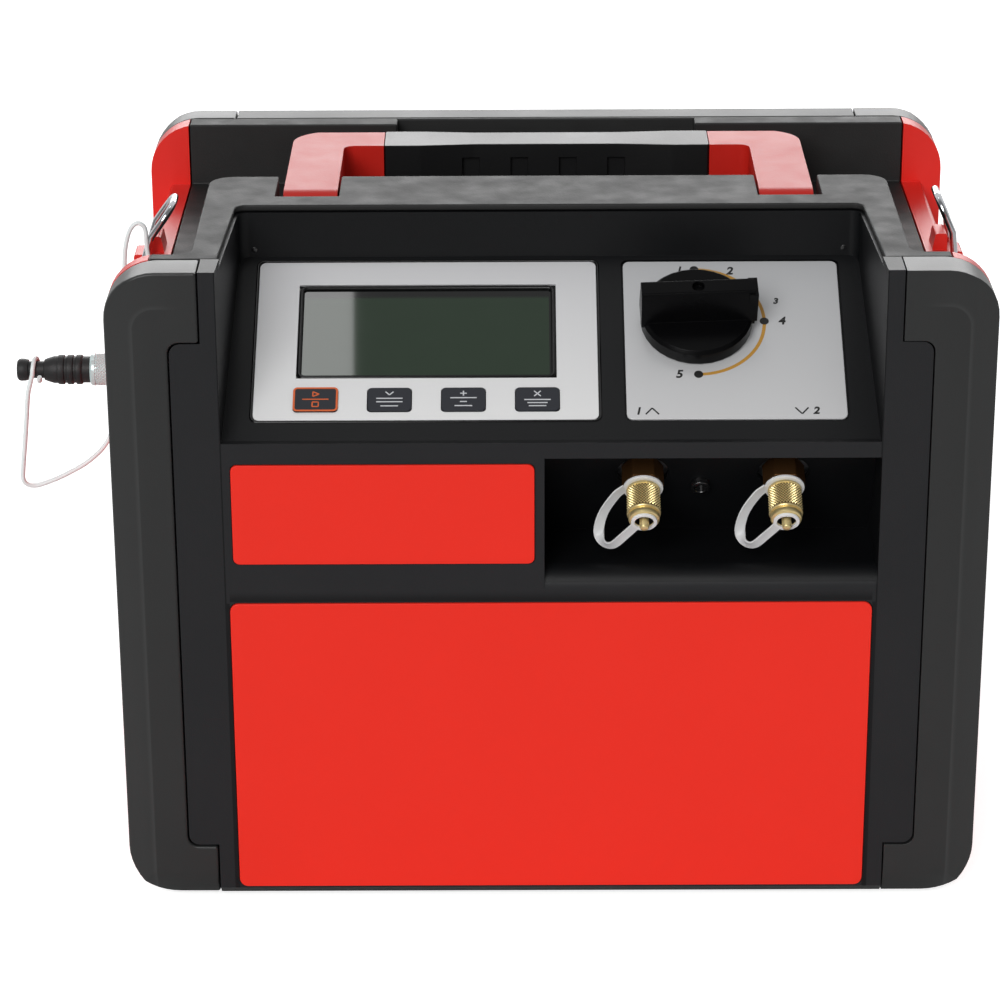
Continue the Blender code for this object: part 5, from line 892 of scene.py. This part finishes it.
# %% Key marks
KEY_FIRST_X, KEY_STEP, KEY_S, KEY_TOP = -0.1072, 0.03375, 0.0234, 0.0008
KEY_HALF_WIDTH, KEY_HALF_HEIGHT = 0.0103, 0.0070
RIM_INSET, RIM_CORNER, RIM_WIDTH = 0.0005, 0.0016, 0.0009


def rim(x, s, half_x, half_s, radius, width):
    """Outlines of a rounded frame, as four sides and four corners."""
    parts = [stroke((x - half_x + radius, s + half_s), (x + half_x - radius, s + half_s), width),
             stroke((x - half_x + radius, s - half_s), (x + half_x - radius, s - half_s), width),
             stroke((x - half_x, s - half_s + radius), (x - half_x, s + half_s - radius), width),
             stroke((x + half_x, s - half_s + radius), (x + half_x, s + half_s - radius), width)]
    for sign_x, sign_s, start in ((1, 1, 0.0), (-1, 1, 90.0), (-1, -1, 180.0), (1, -1, 270.0)):
        corner = (x + sign_x * (half_x - radius), s + sign_s * (half_s - radius))
        parts.append(arc_band(*corner, radius, width, start, start + 90.0, 8))
    return parts


def key_lines(x, lines, width=0.0006):
    """Lines given in millimetres from the key's middle."""
    return [stroke((x + ax * MM, KEY_S + ay * MM), (x + bx * MM, KEY_S + by * MM), width)
            for ax, ay, bx, by in lines]


KEY_SIGNS = (
    ((-6.0, 0.0, 6.0, 0.0), (-1.2, 1.6, -1.2, 4.4), (-1.2, 4.4, 1.6, 3.0), (1.6, 3.0, -1.2, 1.6),
     (-1.4, -1.6, 1.4, -1.6), (-1.4, -4.2, 1.4, -4.2), (-1.4, -1.6, -1.4, -4.2), (1.4, -1.6, 1.4, -4.2)),
    ((-1.8, 4.2, 0.0, 2.4), (0.0, 2.4, 1.8, 4.2), (-6.0, 0.4, 6.0, 0.4), (-6.0, -1.6, 6.0, -1.6),
     (-4.0, -4.0, 4.0, -4.0)),
    ((-6.0, 0.6, 6.0, 0.6), (-1.5, 3.2, 1.5, 3.2), (0.0, 1.8, 0.0, 4.6), (-1.6, -1.6, 1.6, -1.6),
     (-4.0, -4.0, 4.0, -4.0)),
    ((-1.5, 1.4, 1.5, 4.4), (-1.5, 4.4, 1.5, 1.4), (-6.0, -0.6, 6.0, -0.6), (-4.6, -2.4, 4.6, -2.4),
     (-4.0, -4.2, 4.0, -4.2)),
)
KEY_BODIES = ("first_key", "second_key", "third_key", "fourth_key")
for index, (signs, body) in enumerate(zip(KEY_SIGNS, KEY_BODIES)):
    key_x = KEY_FIRST_X + KEY_STEP * index
    marks = key_lines(key_x, signs)
    if index == 0:
        marks += rim(key_x, KEY_S, KEY_HALF_WIDTH - RIM_INSET, KEY_HALF_HEIGHT - RIM_INSET,
                     RIM_CORNER, RIM_WIDTH)
    ink = print_white if index else key_rim
    printed(f"key_{index + 1}_marks", marks, KEY_TOP, ink, body, "grey_key")
print("keys marked", len(KEY_SIGNS))

# %% [markdown]
# ## Gasket of the display
#
# A black rubber gasket fills the corner between the plate and the window. A small round section
# is swept round the opening, and its shine draws the thin bright line that frames the glass.

# %% Helper to sweep a section
UPWARD = Vector((0.0, 0.0, 1.0))


def shade_by_angle(mesh, angle=32.0):
    """Smooth shading that keeps real edges sharp."""
    for face in mesh.polygons:
        face.use_smooth = True
    mesh.set_sharp_from_angle(angle=math.radians(angle))


def swept(name, points, section, hint, place, finish, closed=False):
    """Sweeps a closed section along points, its second axis kept towards the hint."""
    shape = bmesh.new()
    rings = []
    last = len(points) - 1
    for index, point in enumerate(points):
        if closed:
            ahead = points[(index + 1) % (last + 1)] - points[index - 1]
        else:
            ahead = points[min(index + 1, last)] - points[max(index - 1, 0)]
        ahead.normalize()
        flat = (hint - ahead * hint.dot(ahead)).normalized()
        across = ahead.cross(flat)
        rings.append([shape.verts.new(point + across * a + flat * b) for a, b in section])
    count = len(section)
    for low, high in list(zip(rings, rings[1:])) + ([(rings[-1], rings[0])] if closed else []):
        for i in range(count):
            shape.faces.new((low[i], low[(i + 1) % count], high[(i + 1) % count], high[i]))
    if not closed:
        shape.faces.new(list(reversed(rings[0])))
        shape.faces.new(rings[-1])
    mesh = outward_mesh(name, shape, finish)
    mesh.transform(place)
    shade_by_angle(mesh, 50.0)
    return link(name, mesh)


def round_section(radius, steps=12):
    return [(radius * math.cos(math.tau * i / steps), radius * math.sin(math.tau * i / steps))
            for i in range(steps)]


print("sweeping ready")

# %% Sweep the gasket
GASKET_RADIUS, GASKET_CORNER, GASKET_DROP = 0.0012, 0.0026, 0.0012


def rounded_loop(left, right, low, high, radius, steps=6):
    """Points round a rectangle with round corners."""
    loop = []
    for x, s, start in ((right, high, 0.0), (left, high, 90.0), (left, low, 180.0), (right, low, 270.0)):
        centre_x = x - math.copysign(radius, x - (left + right) / 2)
        centre_s = s - math.copysign(radius, s - (low + high) / 2)
        for step in range(steps + 1):
            angle = math.radians(start + 90.0 * step / steps)
            loop.append((centre_x + radius * math.cos(angle), centre_s + radius * math.sin(angle)))
    return loop


gasket_path = [Vector((x, s, -GASKET_DROP)) for x, s in rounded_loop(
    PANE_LEFT + GASKET_RADIUS, PANE_RIGHT - GASKET_RADIUS, PANE_LOW + GASKET_RADIUS,
    PANE_HIGH - GASKET_RADIUS, GASKET_CORNER)]
gasket = swept("lcd_gasket", gasket_path, round_section(GASKET_RADIUS), UPWARD, SLOPE, lip_black,
               closed=True)
settle(gasket, "machine", "black_plastic")
print("gasket points", len(gasket_path))

# %% [markdown]
# A glossy black lip also runs round the whole display plate. It is the same sweep, on a loop that
# is measured from the plate itself and set just outside its edge.

# %% Sweep the lip round the plate
LIP_RADIUS, LIP_GAP, LIP_CORNER = 0.0008, 0.0009, 0.0032
to_slope = SLOPE.inverted()
plate_points = [to_slope @ vert.co for vert in nodes["display_bezel"].data.vertices]
lip_loop = rounded_loop(min(v.x for v in plate_points) - LIP_GAP, max(v.x for v in plate_points) + LIP_GAP,
                        min(v.y for v in plate_points) - LIP_GAP, max(v.y for v in plate_points) + LIP_GAP,
                        LIP_CORNER)
lip_path = [Vector((x, s, -LIP_RADIUS / 2)) for x, s in lip_loop]
lip = swept("display_lip", lip_path, round_section(LIP_RADIUS), UPWARD, SLOPE, lip_black, closed=True)
settle(lip, "machine", "black_plastic")
print("lip points", len(lip_path))

# %% [markdown]
# ## Turned brass caps
#
# Each port ends in a brass cap that a hand unscrews, so its barrel is knurled. The cap's body is a
# profile turned round its axis, as on a lathe. The knurl is a rule: rows of small pyramids, every
# other row turned by half a step. Geometry Nodes repeats them from two numbers.

# %% Turning a profile
PORT_X = {"inlet": 0.0425, "outlet": 0.1074}
PORT_Y, PORT_Z = -0.1031845, 0.208
PORT_TURN = Matrix.Rotation(math.radians(121.0), 4, "X")
PORTS = {side: Matrix.Translation((x, PORT_Y, PORT_Z)) @ PORT_TURN for side, x in PORT_X.items()}


def turned(name, profile, place, finish, steps=64, closed=False):
    """Turns (radius, along) points in millimetres round local Z into a closed mesh object."""
    shape = bmesh.new()
    rings = []
    for radius, along in profile:
        if radius == 0.0:
            rings.append([shape.verts.new((0.0, 0.0, along * MM))] * steps)
        else:
            rings.append([shape.verts.new((radius * MM * math.cos(math.tau * i / steps),
                                           radius * MM * math.sin(math.tau * i / steps), along * MM))
                          for i in range(steps)])
    pairs = list(zip(rings, rings[1:])) + ([(rings[-1], rings[0])] if closed else [])
    for low, high in pairs:
        for i in range(steps):
            j = (i + 1) % steps
            corners = list(dict.fromkeys((low[i], low[j], high[j], high[i])))
            shape.faces.new(corners)
    mesh = outward_mesh(name, shape, finish)
    mesh.transform(place)
    shade_by_angle(mesh)
    return link(name, mesh)


CAP_PROFILE = ((0.0, 21.3), (6.0, 21.3), (6.0, 9.8), (7.3, 9.8), (7.8, 10.3), (7.8, 11.0), (7.25, 11.3),
               (7.25, 22.9), (7.5, 23.0), (7.8, 23.3), (7.8, 23.8), (7.5, 24.2), (6.7, 24.3), (6.7, 25.0),
               (7.1, 25.1), (7.2, 25.4), (7.2, 26.6), (7.0, 27.2), (6.5, 27.5), (4.9, 27.5), (4.6, 27.2),
               (4.6, 22.2), (2.2, 22.2), (2.2, 31.2), (1.8, 32.0), (1.0, 32.4), (0.0, 32.4))
print("cap profile points", len(CAP_PROFILE))

# %% A geometry tree for knurled rows


def new_tree(name, sizes):
    """A geometry tree with named number inputs and one finish input."""
    tree = bpy.data.node_groups.new(name, "GeometryNodeTree")
    tree.interface.new_socket("Geometry", in_out="INPUT", socket_type="NodeSocketGeometry")
    for label, kind, value in sizes:
        socket = tree.interface.new_socket(label, in_out="INPUT", socket_type=kind)
        socket.default_value = value
    tree.interface.new_socket("Finish", in_out="INPUT", socket_type="NodeSocketMaterial")
    tree.interface.new_socket("Geometry", in_out="OUTPUT", socket_type="NodeSocketGeometry")
    net = Net(tree)
    entry = tree.nodes.new("NodeGroupInput")
    given = {socket.name: Wire(net, socket) for socket in entry.outputs if socket.name}
    return net, given


def end_tree(net, given, instances):
    """Ends a tree in real geometry with its finish."""
    real = net.node("GeometryNodeRealizeInstances", values={0: instances})
    painted = net.node("GeometryNodeSetMaterial", values={"Geometry": real, "Material": given["Finish"]})
    net.node("NodeGroupOutput", values={0: painted})
    return net.tree


def knurl_tree():
    net, given = new_tree("knurl_rows", (
        ("Per row", "NodeSocketInt", 36), ("Rows", "NodeSocketInt", 12),
        ("Radius", "NodeSocketFloat", 0.007), ("Pitch", "NodeSocketFloat", 0.0007),
        ("Width", "NodeSocketFloat", 0.0007), ("Height", "NodeSocketFloat", 0.0004)))
    ring = net.node("GeometryNodeMeshCircle", values={
        "Vertices": given["Per row"], "Radius": given["Radius"]})
    tooth = net.node("GeometryNodeMeshCone", {"fill_type": "NONE"}, {
        "Vertices": 4, "Radius Top": 0.00002, "Radius Bottom": given["Width"], "Depth": given["Height"]})
    spot = net.node("GeometryNodeInputPosition")
    spot_x = net.node("ShaderNodeSeparateXYZ", values={0: spot}, output="X")
    spot_y = net.node("ShaderNodeSeparateXYZ", values={0: spot}, output="Y")
    around = net.node("ShaderNodeMath", {"operation": "ARCTAN2"}, {0: spot_y, 1: spot_x})
    turn = net.node("ShaderNodeCombineXYZ", values={"Y": math.pi / 2, "Z": around})
    outward = net.node("FunctionNodeEulerToRotation", values={0: turn})
    row = net.node("GeometryNodeInstanceOnPoints", values={
        "Points": ring, "Instance": tooth, "Rotation": outward})
    step = net.node("ShaderNodeCombineXYZ", values={"Z": given["Pitch"]})
    line = net.node("GeometryNodeMeshLine", values={"Count": given["Rows"], "Offset": step})
    index = net.node("GeometryNodeInputIndex")
    odd = net.node("ShaderNodeMath", {"operation": "MODULO"}, {0: index, 1: 2.0})
    half = net.node("ShaderNodeMath", {"operation": "DIVIDE"}, {0: math.pi, 1: given["Per row"]})
    stagger = net.node("FunctionNodeEulerToRotation", values={
        0: net.node("ShaderNodeCombineXYZ", values={"Z": odd * half})})
    rows = net.node("GeometryNodeInstanceOnPoints", values={
        "Points": line, "Instance": row, "Rotation": stagger})
    return end_tree(net, given, rows)


def grown(name, tree, finish, place, values, host=None):
    """Runs a geometry tree once and keeps its result as a plain mesh."""
    draft = link(name + "_draft", host or bpy.data.meshes.new(name + "_host"))
    modifier = draft.modifiers.new("Repeat", "NODES")
    modifier.node_group = tree
    for item in tree.interface.items_tree:
        if item.in_out == "INPUT" and item.name in values:
            modifier[item.identifier] = values[item.name]
        if item.in_out == "INPUT" and item.name == "Finish":
            modifier[item.identifier] = finish
    piece = plain(draft, name)
    piece.data.transform(place)
    return piece


knurl = knurl_tree()
print("knurl inputs", [item.name for item in knurl.interface.items_tree])

# %% Caps, knurls and their bodies
CAP_KNURL = {"Per row": 32, "Rows": 15, "Radius": 0.00722, "Pitch": 0.00073, "Width": 0.00066,
             "Height": 0.00058}
CAP_KNURL_START = 0.0119
GROOVE_PROFILE = ((7.0, 11.6), (7.32, 11.6), (7.32, 22.7), (7.0, 22.7))
LINER_PROFILE = ((2.25, 22.3), (4.55, 22.3), (4.55, 27.1), (4.35, 27.1), (4.35, 22.8), (2.25, 22.8))
for side, place in PORTS.items():
    cap = turned(f"{side}_cap_turned", CAP_PROFILE, place, brass_metal)
    settle(cap, f"{side}_cap_body", "brass", f"{side}_cap")
    teeth = grown(f"{side}_cap_knurl", knurl, brass_metal,
                  place @ Matrix.Translation((0.0, 0.0, CAP_KNURL_START)), CAP_KNURL)
    settle(teeth, f"{side}_cap_body", "brass")
    # The darker sleeve under the teeth is painted shade in the knurl's grooves.
    sleeve = turned(f"{side}_cap_grooves", GROOVE_PROFILE, place, groove_brass, closed=True)
    settle(sleeve, f"{side}_cap_body", "brass")
    liner = turned(f"{side}_cap_liner", LINER_PROFILE, place, soft_rubber, closed=True)
    settle(liner, f"{side}_cap_body", "rubber")
    print(side, "knurl faces", len(teeth.data.polygons))

# %% [markdown]
# ## Cap straps
#
# A nylon strap holds each cap: a ring under the cap, a flat ribbon and a small ring on the cap's
# pin. The part is moulded flat and then bent, so the ribbon keeps its width and turns its flat
# side to the front. It follows a loop of its own, within 4 mm of the round one of its solid.

# %% Sweep a ribbon
STRAP_LOOP = ((-8.2, 0.4, 0.2), (-12.6, -2.6, 2.2), (-18.2, -8.2, 8.0), (-20.4, -13.2, 14.6),
              (-18.6, -15.6, 19.4), (-14.2, -14.4, 21.8), (-8.6, -8.2, 20.8), (-4.0, -3.2, 19.4))
STRAP_RING_MIDDLE = 8.9


def ribbon_section(width, thick, steps=4):
    """The section of a ribbon with a round bead on each edge and a thinner middle, in metres."""
    radius = thick / 2
    half = width / 2 - radius
    right = [(half + radius * math.cos(a), radius * math.sin(a))
             for a in (math.radians(135.0) * (2 * i / steps - 1) for i in range(steps + 1))]
    left = [(-x, -y) for x, y in right]
    return right + left


def band_profile(inner, outer, low, high, edge=0.2):
    """The profile of a flat ring with its edges taken off, in millimetres."""
    return ((inner, low + edge), (inner, high - edge), (inner + edge, high), (outer - edge, high),
            (outer, high - edge), (outer, low + edge), (outer - edge, low), (inner + edge, low))


RIBBON_WIDTH, RIBBON_THICK = 0.0050, 0.0011
STRAP_ENDS = {"ring": band_profile(5.8, 9.2, 8.3, 9.5), "eye": band_profile(4.4, 6.0, 27.6, 28.9)}
ribbon_points = smooth_route([Vector((x, y, z + STRAP_RING_MIDDLE)) * MM for x, y, z in STRAP_LOOP], 6)
for side, place in PORTS.items():
    band = swept(f"{side}_strap_ribbon", ribbon_points, ribbon_section(RIBBON_WIDTH, RIBBON_THICK),
                 UPWARD, place, milky_nylon)
    settle(band, "machine", "clear_nylon", f"{side}_cap_strap")
    for word, profile in STRAP_ENDS.items():
        loop = turned(f"{side}_strap_{word}", profile, place, ring_nylon, closed=True)
        settle(loop, "machine", "clear_nylon")
print("ribbon points", len(ribbon_points))

# %% [markdown]
# ## Screw between the ports
#
# A black socket-head screw holds the valve block behind the recess wall. It is turned from one
# profile, as the caps are, with a deep round socket that stays dark.

# %% Turn the recess screw
SCREW_PLACE = Matrix.Translation((0.0693, -0.0990, 0.2008)) @ PORT_TURN
SCREW_PROFILE = ((0.0, -1.0), (4.6, -1.0), (4.6, 2.3), (4.3, 2.8), (3.8, 3.0), (2.9, 3.0), (2.7, 2.7),
                 (2.7, 0.8), (0.0, 0.8))
recess_screw = turned("recess_screw", SCREW_PROFILE, SCREW_PLACE, screw_black, steps=40)
settle(recess_screw, "machine", "steel")
print("recess screw", len(recess_screw.data.polygons), "faces")

# %% [markdown]
# ## Strap rings
#
# Each side carries a chrome wire ring for a shoulder strap. The wire is bent round a closed route:
# a straight lower bar that turns in the lug, two sides that bend inwards halfway up, and two wide
# top corners. A round section is swept along that route.

# %% Bend the rings
RING_RADIUS, RING_HALF, RING_TOP, RING_BEND_AT = 0.0017, 0.0130, 0.0335, 0.0160
RING_BEND = math.radians(18.0)
RING_LOW_CORNER, RING_TOP_CORNER, RING_STEPS = 0.0034, 0.0090, 12
RING_AXES = {"left": (-1, -0.1938, 18.0), "right": (1, 0.1938, 6.0)}
RING_AXIS_Z = 0.2785


def ring_route(side):
    """The ring's route in its own frame, Z up along the ring."""
    corners = ((RING_HALF, 0.0, RING_LOW_CORNER, -90.0), (RING_HALF, RING_TOP, RING_TOP_CORNER, 0.0),
               (-RING_HALF, RING_TOP, RING_TOP_CORNER, 90.0), (-RING_HALF, 0.0, RING_LOW_CORNER, 180.0))
    flat = []
    for x, z, radius, start in corners:
        middle_x = x - math.copysign(radius, x)
        middle_z = z + (radius if z == 0.0 else -radius)
        for step in range(RING_STEPS + 1):
            angle = math.radians(start + 90.0 * step / RING_STEPS)
            flat.append((middle_x + radius * math.cos(angle), middle_z + radius * math.sin(angle)))
        if start == -90.0 or start == 90.0:
            flat.append((x, RING_BEND_AT))
    route = []
    for x, z in flat:
        beyond = max(z - RING_BEND_AT, 0.0)
        route.append(Vector((-side * beyond * math.sin(RING_BEND), x,
                             min(z, RING_BEND_AT) + beyond * math.cos(RING_BEND))))
    return route


for word, (side, axis_x, lean) in RING_AXES.items():
    tilt = Matrix.Rotation(math.radians(-side * lean), 4, "Y")
    wire = swept(f"strap_ring_{word}_wire", ring_route(side), round_section(RING_RADIUS, 20),
                 Vector((1.0, 0.0, 0.0)), Matrix.Translation((axis_x, 0.0, RING_AXIS_Z)) @ tilt,
                 chrome_metal, closed=True)
    settle(wire, f"{word}_ring", "chrome", f"strap_ring_{word}")
    print(word, "ring top", round(wire.bound_box[6][2], 4), "m")

# %% [markdown]
# ## Dust plug and its knurled nut
#
# The plug on the left side closes a sensor socket. It is black rubber with three ribs to grip it,
# a waist for the tether and a flared end. Its nut is nickel-plated with a diamond knurl. Both are
# turned on the socket's axis, which points to the left.

# %% Turn the plug and the nut
PLUG_AXIS = Matrix.Translation((0.0, PLUG_Y, PLUG_Z)) @ Matrix.Rotation(math.radians(-90.0), 4, "Y")
PLUG_PROFILE = ((0.0, 250.3), (4.2, 250.3), (5.0, 249.6), (5.3, 248.6), (5.2, 246.6), (4.8, 245.2),
                (4.0, 244.8), (4.0, 237.8), (4.9, 237.5), (5.6, 235.6), (6.4, 233.0), (6.4, 231.2),
                (6.9, 230.9), (7.0, 230.4), (7.0, 228.6), (6.9, 228.2), (6.3, 227.9), (6.3, 226.9),
                (6.9, 226.6), (7.0, 226.2), (7.0, 224.4), (6.9, 224.0), (6.3, 223.7), (6.3, 222.7),
                (6.9, 222.4), (7.0, 222.0), (7.0, 220.2), (6.8, 219.8), (6.2, 219.4), (6.2, 216.1),
                (4.9, 216.1), (4.9, 199.8), (0.0, 199.8))
NUT_PROFILE = ((5.9, 194.5), (7.1, 194.5), (7.6, 195.0), (7.6, 196.6), (7.1, 196.9), (7.1, 213.2),
               (7.6, 213.5), (7.6, 214.9), (6.7, 215.8), (5.2, 215.8), (5.2, 213.8), (5.9, 213.8))
plug = turned("bypass_plug_turned", PLUG_PROFILE, PLUG_AXIS, soft_rubber)
settle(plug, "machine", "rubber", "bypass_plug")
nut = turned("plug_nut_turned", NUT_PROFILE, PLUG_AXIS, nickel_metal, closed=True)
settle(nut, "nut", "steel", "plug_nut")
NUT_KNURL = {"Per row": 28, "Rows": 20, "Radius": 0.00712, "Pitch": 0.00080, "Width": 0.00081,
             "Height": 0.00044}
NUT_KNURL_START = 0.1974
nut_teeth = grown("plug_nut_knurl", knurl, nickel_metal,
                  PLUG_AXIS @ Matrix.Translation((0.0, 0.0, NUT_KNURL_START)), NUT_KNURL)
settle(nut_teeth, "nut", "steel")
print("nut knurl faces", len(nut_teeth.data.polygons))

# %% [markdown]
# ## Clips in the console's corners
#
# Two small moulded clips at the back of the console hold its lip. They are low domes, dark on
# dark, which only show by the light on their edge.

# %% Clips
CLIP_PROFILE = ((0.0, -1.0), (2.6, -1.0), (2.6, 0.6), (2.2, 1.3), (1.3, 1.8), (0.0, 2.0))
CLIP_X, CLIP_Y, CLIP_Z = 0.1385, -0.0312, 0.2935
FACE_FRONT = Matrix.Rotation(math.radians(90.0), 4, "X")
for side, x in (("left", -CLIP_X), ("right", CLIP_X)):
    place = Matrix.Translation((x, CLIP_Y, CLIP_Z)) @ FACE_FRONT
    clip = turned(f"console_clip_{side}", CLIP_PROFILE, place, screw_black, steps=28)
    settle(clip, "machine", "black_plastic")
print("clips made")

# %% [markdown]
# ## The carrying grip
#
# The grip is a rubber sleeve between the two red arms. It is thinner in its middle, and four
# shallow notches give the fingers a hold. The notches are cut with boolean boxes before the edges
# are rounded, so that each notch gets its own soft edge.

# %% Cut the finger notches
NOTCH_X = (-0.0375, -0.0135, 0.0105, 0.0345)
NOTCH_WIDTH, NOTCH_DEPTH, NOTCH_HEIGHT = 0.0085, 0.0008, 0.0110
NOTCH_RISE, NOTCH_FACE, CUTTER_REACH = 0.004, 0.0035, 0.01


def block(name, low, high):
    """A box between two corners, used only as a cutter."""
    shape = bmesh.new()
    bmesh.ops.create_cube(shape, size=1.0)
    size = Vector(high) - Vector(low)
    middle = (Vector(high) + Vector(low)) / 2
    bmesh.ops.transform(shape, matrix=Matrix.LocRotScale(middle, None, size), verts=shape.verts)
    mesh = bpy.data.meshes.new(name)
    shape.to_mesh(mesh)
    shape.free()
    return link(name, mesh)


grip_low = Vector(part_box("handle_grip")[0])
notch_low = grip_low.z + NOTCH_RISE
notch_back = grip_low.y + NOTCH_FACE + NOTCH_DEPTH
grip = link("grip_draft", merged_copy("handle_grip"))
cutters = []
for x in NOTCH_X:
    cutter = block("notch_cutter", (x - NOTCH_WIDTH / 2, grip_low.y - CUTTER_REACH, notch_low),
                   (x + NOTCH_WIDTH / 2, notch_back, notch_low + NOTCH_HEIGHT))
    cut = grip.modifiers.new("Notch", "BOOLEAN")
    cut.operation = "DIFFERENCE"
    cut.solver = "EXACT"
    cut.object = cutter
    cutters.append(cutter)
grip = plain(round_edges(grip, 0.0008), "handle_grip_sleeve")
for cutter in cutters:
    bpy.data.objects.remove(cutter)
settle(dress(grip, grip_rubber), "handle", "rubber", "handle_grip")
print("grip faces", len(grip.data.polygons))

# %% [markdown]
# ## Screws
#
# The rear cover is held by six pan-head screws with a cross recess. They are all the same, so one
# geometry tree makes a head and puts a copy on every point of a host mesh, turned to face one way.

# %% A tree that puts a screw on each point


def screw_tree():
    net, given = new_tree("screws", (
        ("Radius", "NodeSocketFloat", 0.003), ("Height", "NodeSocketFloat", 0.0012),
        ("Turn", "NodeSocketVector", (0.0, 0.0, 0.0))))
    head = net.node("GeometryNodeMeshCone", values={
        "Vertices": 28, "Radius Top": given["Radius"] * 0.78, "Radius Bottom": given["Radius"],
        "Depth": given["Height"]})
    long_side = given["Radius"] * 1.1
    short_side = given["Radius"] * 0.26
    lift = net.node("ShaderNodeCombineXYZ", values={"Z": given["Height"]})
    recess = []
    for sides in ((long_side, short_side), (short_side, long_side)):
        size = net.node("ShaderNodeCombineXYZ", values={
            "X": sides[0], "Y": sides[1], "Z": given["Height"] * 1.2})
        slot_cube = net.node("GeometryNodeMeshCube", values={"Size": size})
        recess.append(net.node("GeometryNodeTransform", values={"Geometry": slot_cube, "Translation": lift}))
    cross = net.node("GeometryNodeMeshBoolean", {"operation": "UNION", "solver": "EXACT"})
    for part in recess:
        net.tree.links.new(part.socket, cross.socket.node.inputs["Mesh 2"])
    cut_head = net.node("GeometryNodeMeshBoolean", {"operation": "DIFFERENCE", "solver": "EXACT"}, {
        "Mesh 1": head, "Mesh 2": cross})
    facing = net.node("FunctionNodeEulerToRotation", values={0: given["Turn"]})
    copies = net.node("GeometryNodeInstanceOnPoints", values={
        "Points": given["Geometry"], "Instance": cut_head, "Rotation": facing})
    return end_tree(net, given, copies)


screws = screw_tree()


def screw_set(name, places, radius, height, turn, body, slot, finish):
    """Screw heads at these places, all facing one way."""
    host = bpy.data.meshes.new(name + "_host")
    host.from_pydata(places, [], [])
    piece = grown(name, screws, finish, Matrix.Identity(4),
                  {"Radius": radius, "Height": height, "Turn": turn}, host)
    return settle(piece, body, slot)


FACE_REAR = (math.radians(-90.0), 0.0, 0.0)
SCREW_SIDES, SCREW_LEVELS, SCREW_SINK = (-0.145, 0.145), (0.030, 0.158, 0.290), 0.0003
rear_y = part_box("rear_cover")[1][1]
cover_screws = [(x, rear_y - SCREW_SINK, z) for x in SCREW_SIDES for z in SCREW_LEVELS]
rear_set = screw_set("rear_cover_screws", cover_screws, 0.0034, 0.0013, FACE_REAR, "machine", "steel",
                     steel_metal)
print("rear screws", len(cover_screws), "faces", len(rear_set.data.polygons))

# %% [markdown]
# ## Cooling fins
#
# Behind the grille lies the condenser, a block of thin aluminium fins that gives off the heat of
# the gas. A row of plates is the simplest rule there is, so a short geometry tree makes it: a
# line of points and one thin box.

# %% A tree for a row of plates


def fin_tree():
    net, given = new_tree("fin_row", (
        ("Count", "NodeSocketInt", 40), ("Pitch", "NodeSocketFloat", 0.0035),
        ("Size", "NodeSocketVector", (0.001, 0.03, 0.1))))
    step = net.node("ShaderNodeCombineXYZ", values={"X": given["Pitch"]})
    line = net.node("GeometryNodeMeshLine", values={"Count": given["Count"], "Offset": step})
    plate = net.node("GeometryNodeMeshCube", values={"Size": given["Size"]})
    copies = net.node("GeometryNodeInstanceOnPoints", values={"Points": line, "Instance": plate})
    return end_tree(net, given, copies)


fin_low, fin_high = (Vector(corner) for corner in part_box("condenser"))
FIN_PITCH, FIN_THICK, FIN_PROUD, FIN_SHORT = 0.0026, 0.0004, 0.0006, 0.02
fin_count = int((fin_high.x - fin_low.x) / FIN_PITCH)
fin_size = (FIN_THICK, fin_high.y - fin_low.y + 2 * FIN_PROUD, fin_high.z - fin_low.z - FIN_SHORT)
fin_middle = (fin_low + fin_high) / 2
fin_start = Vector((fin_low.x + FIN_PITCH / 2, fin_middle.y, fin_middle.z))
fins = grown("condenser_fins", fin_tree(), cast_metal, Matrix.Translation(fin_start),
             {"Count": fin_count, "Pitch": FIN_PITCH, "Size": fin_size})
settle(fins, "machine", "aluminium")
print("fins", fin_count)

# %% Update the scene
bpy.context.view_layer.update()
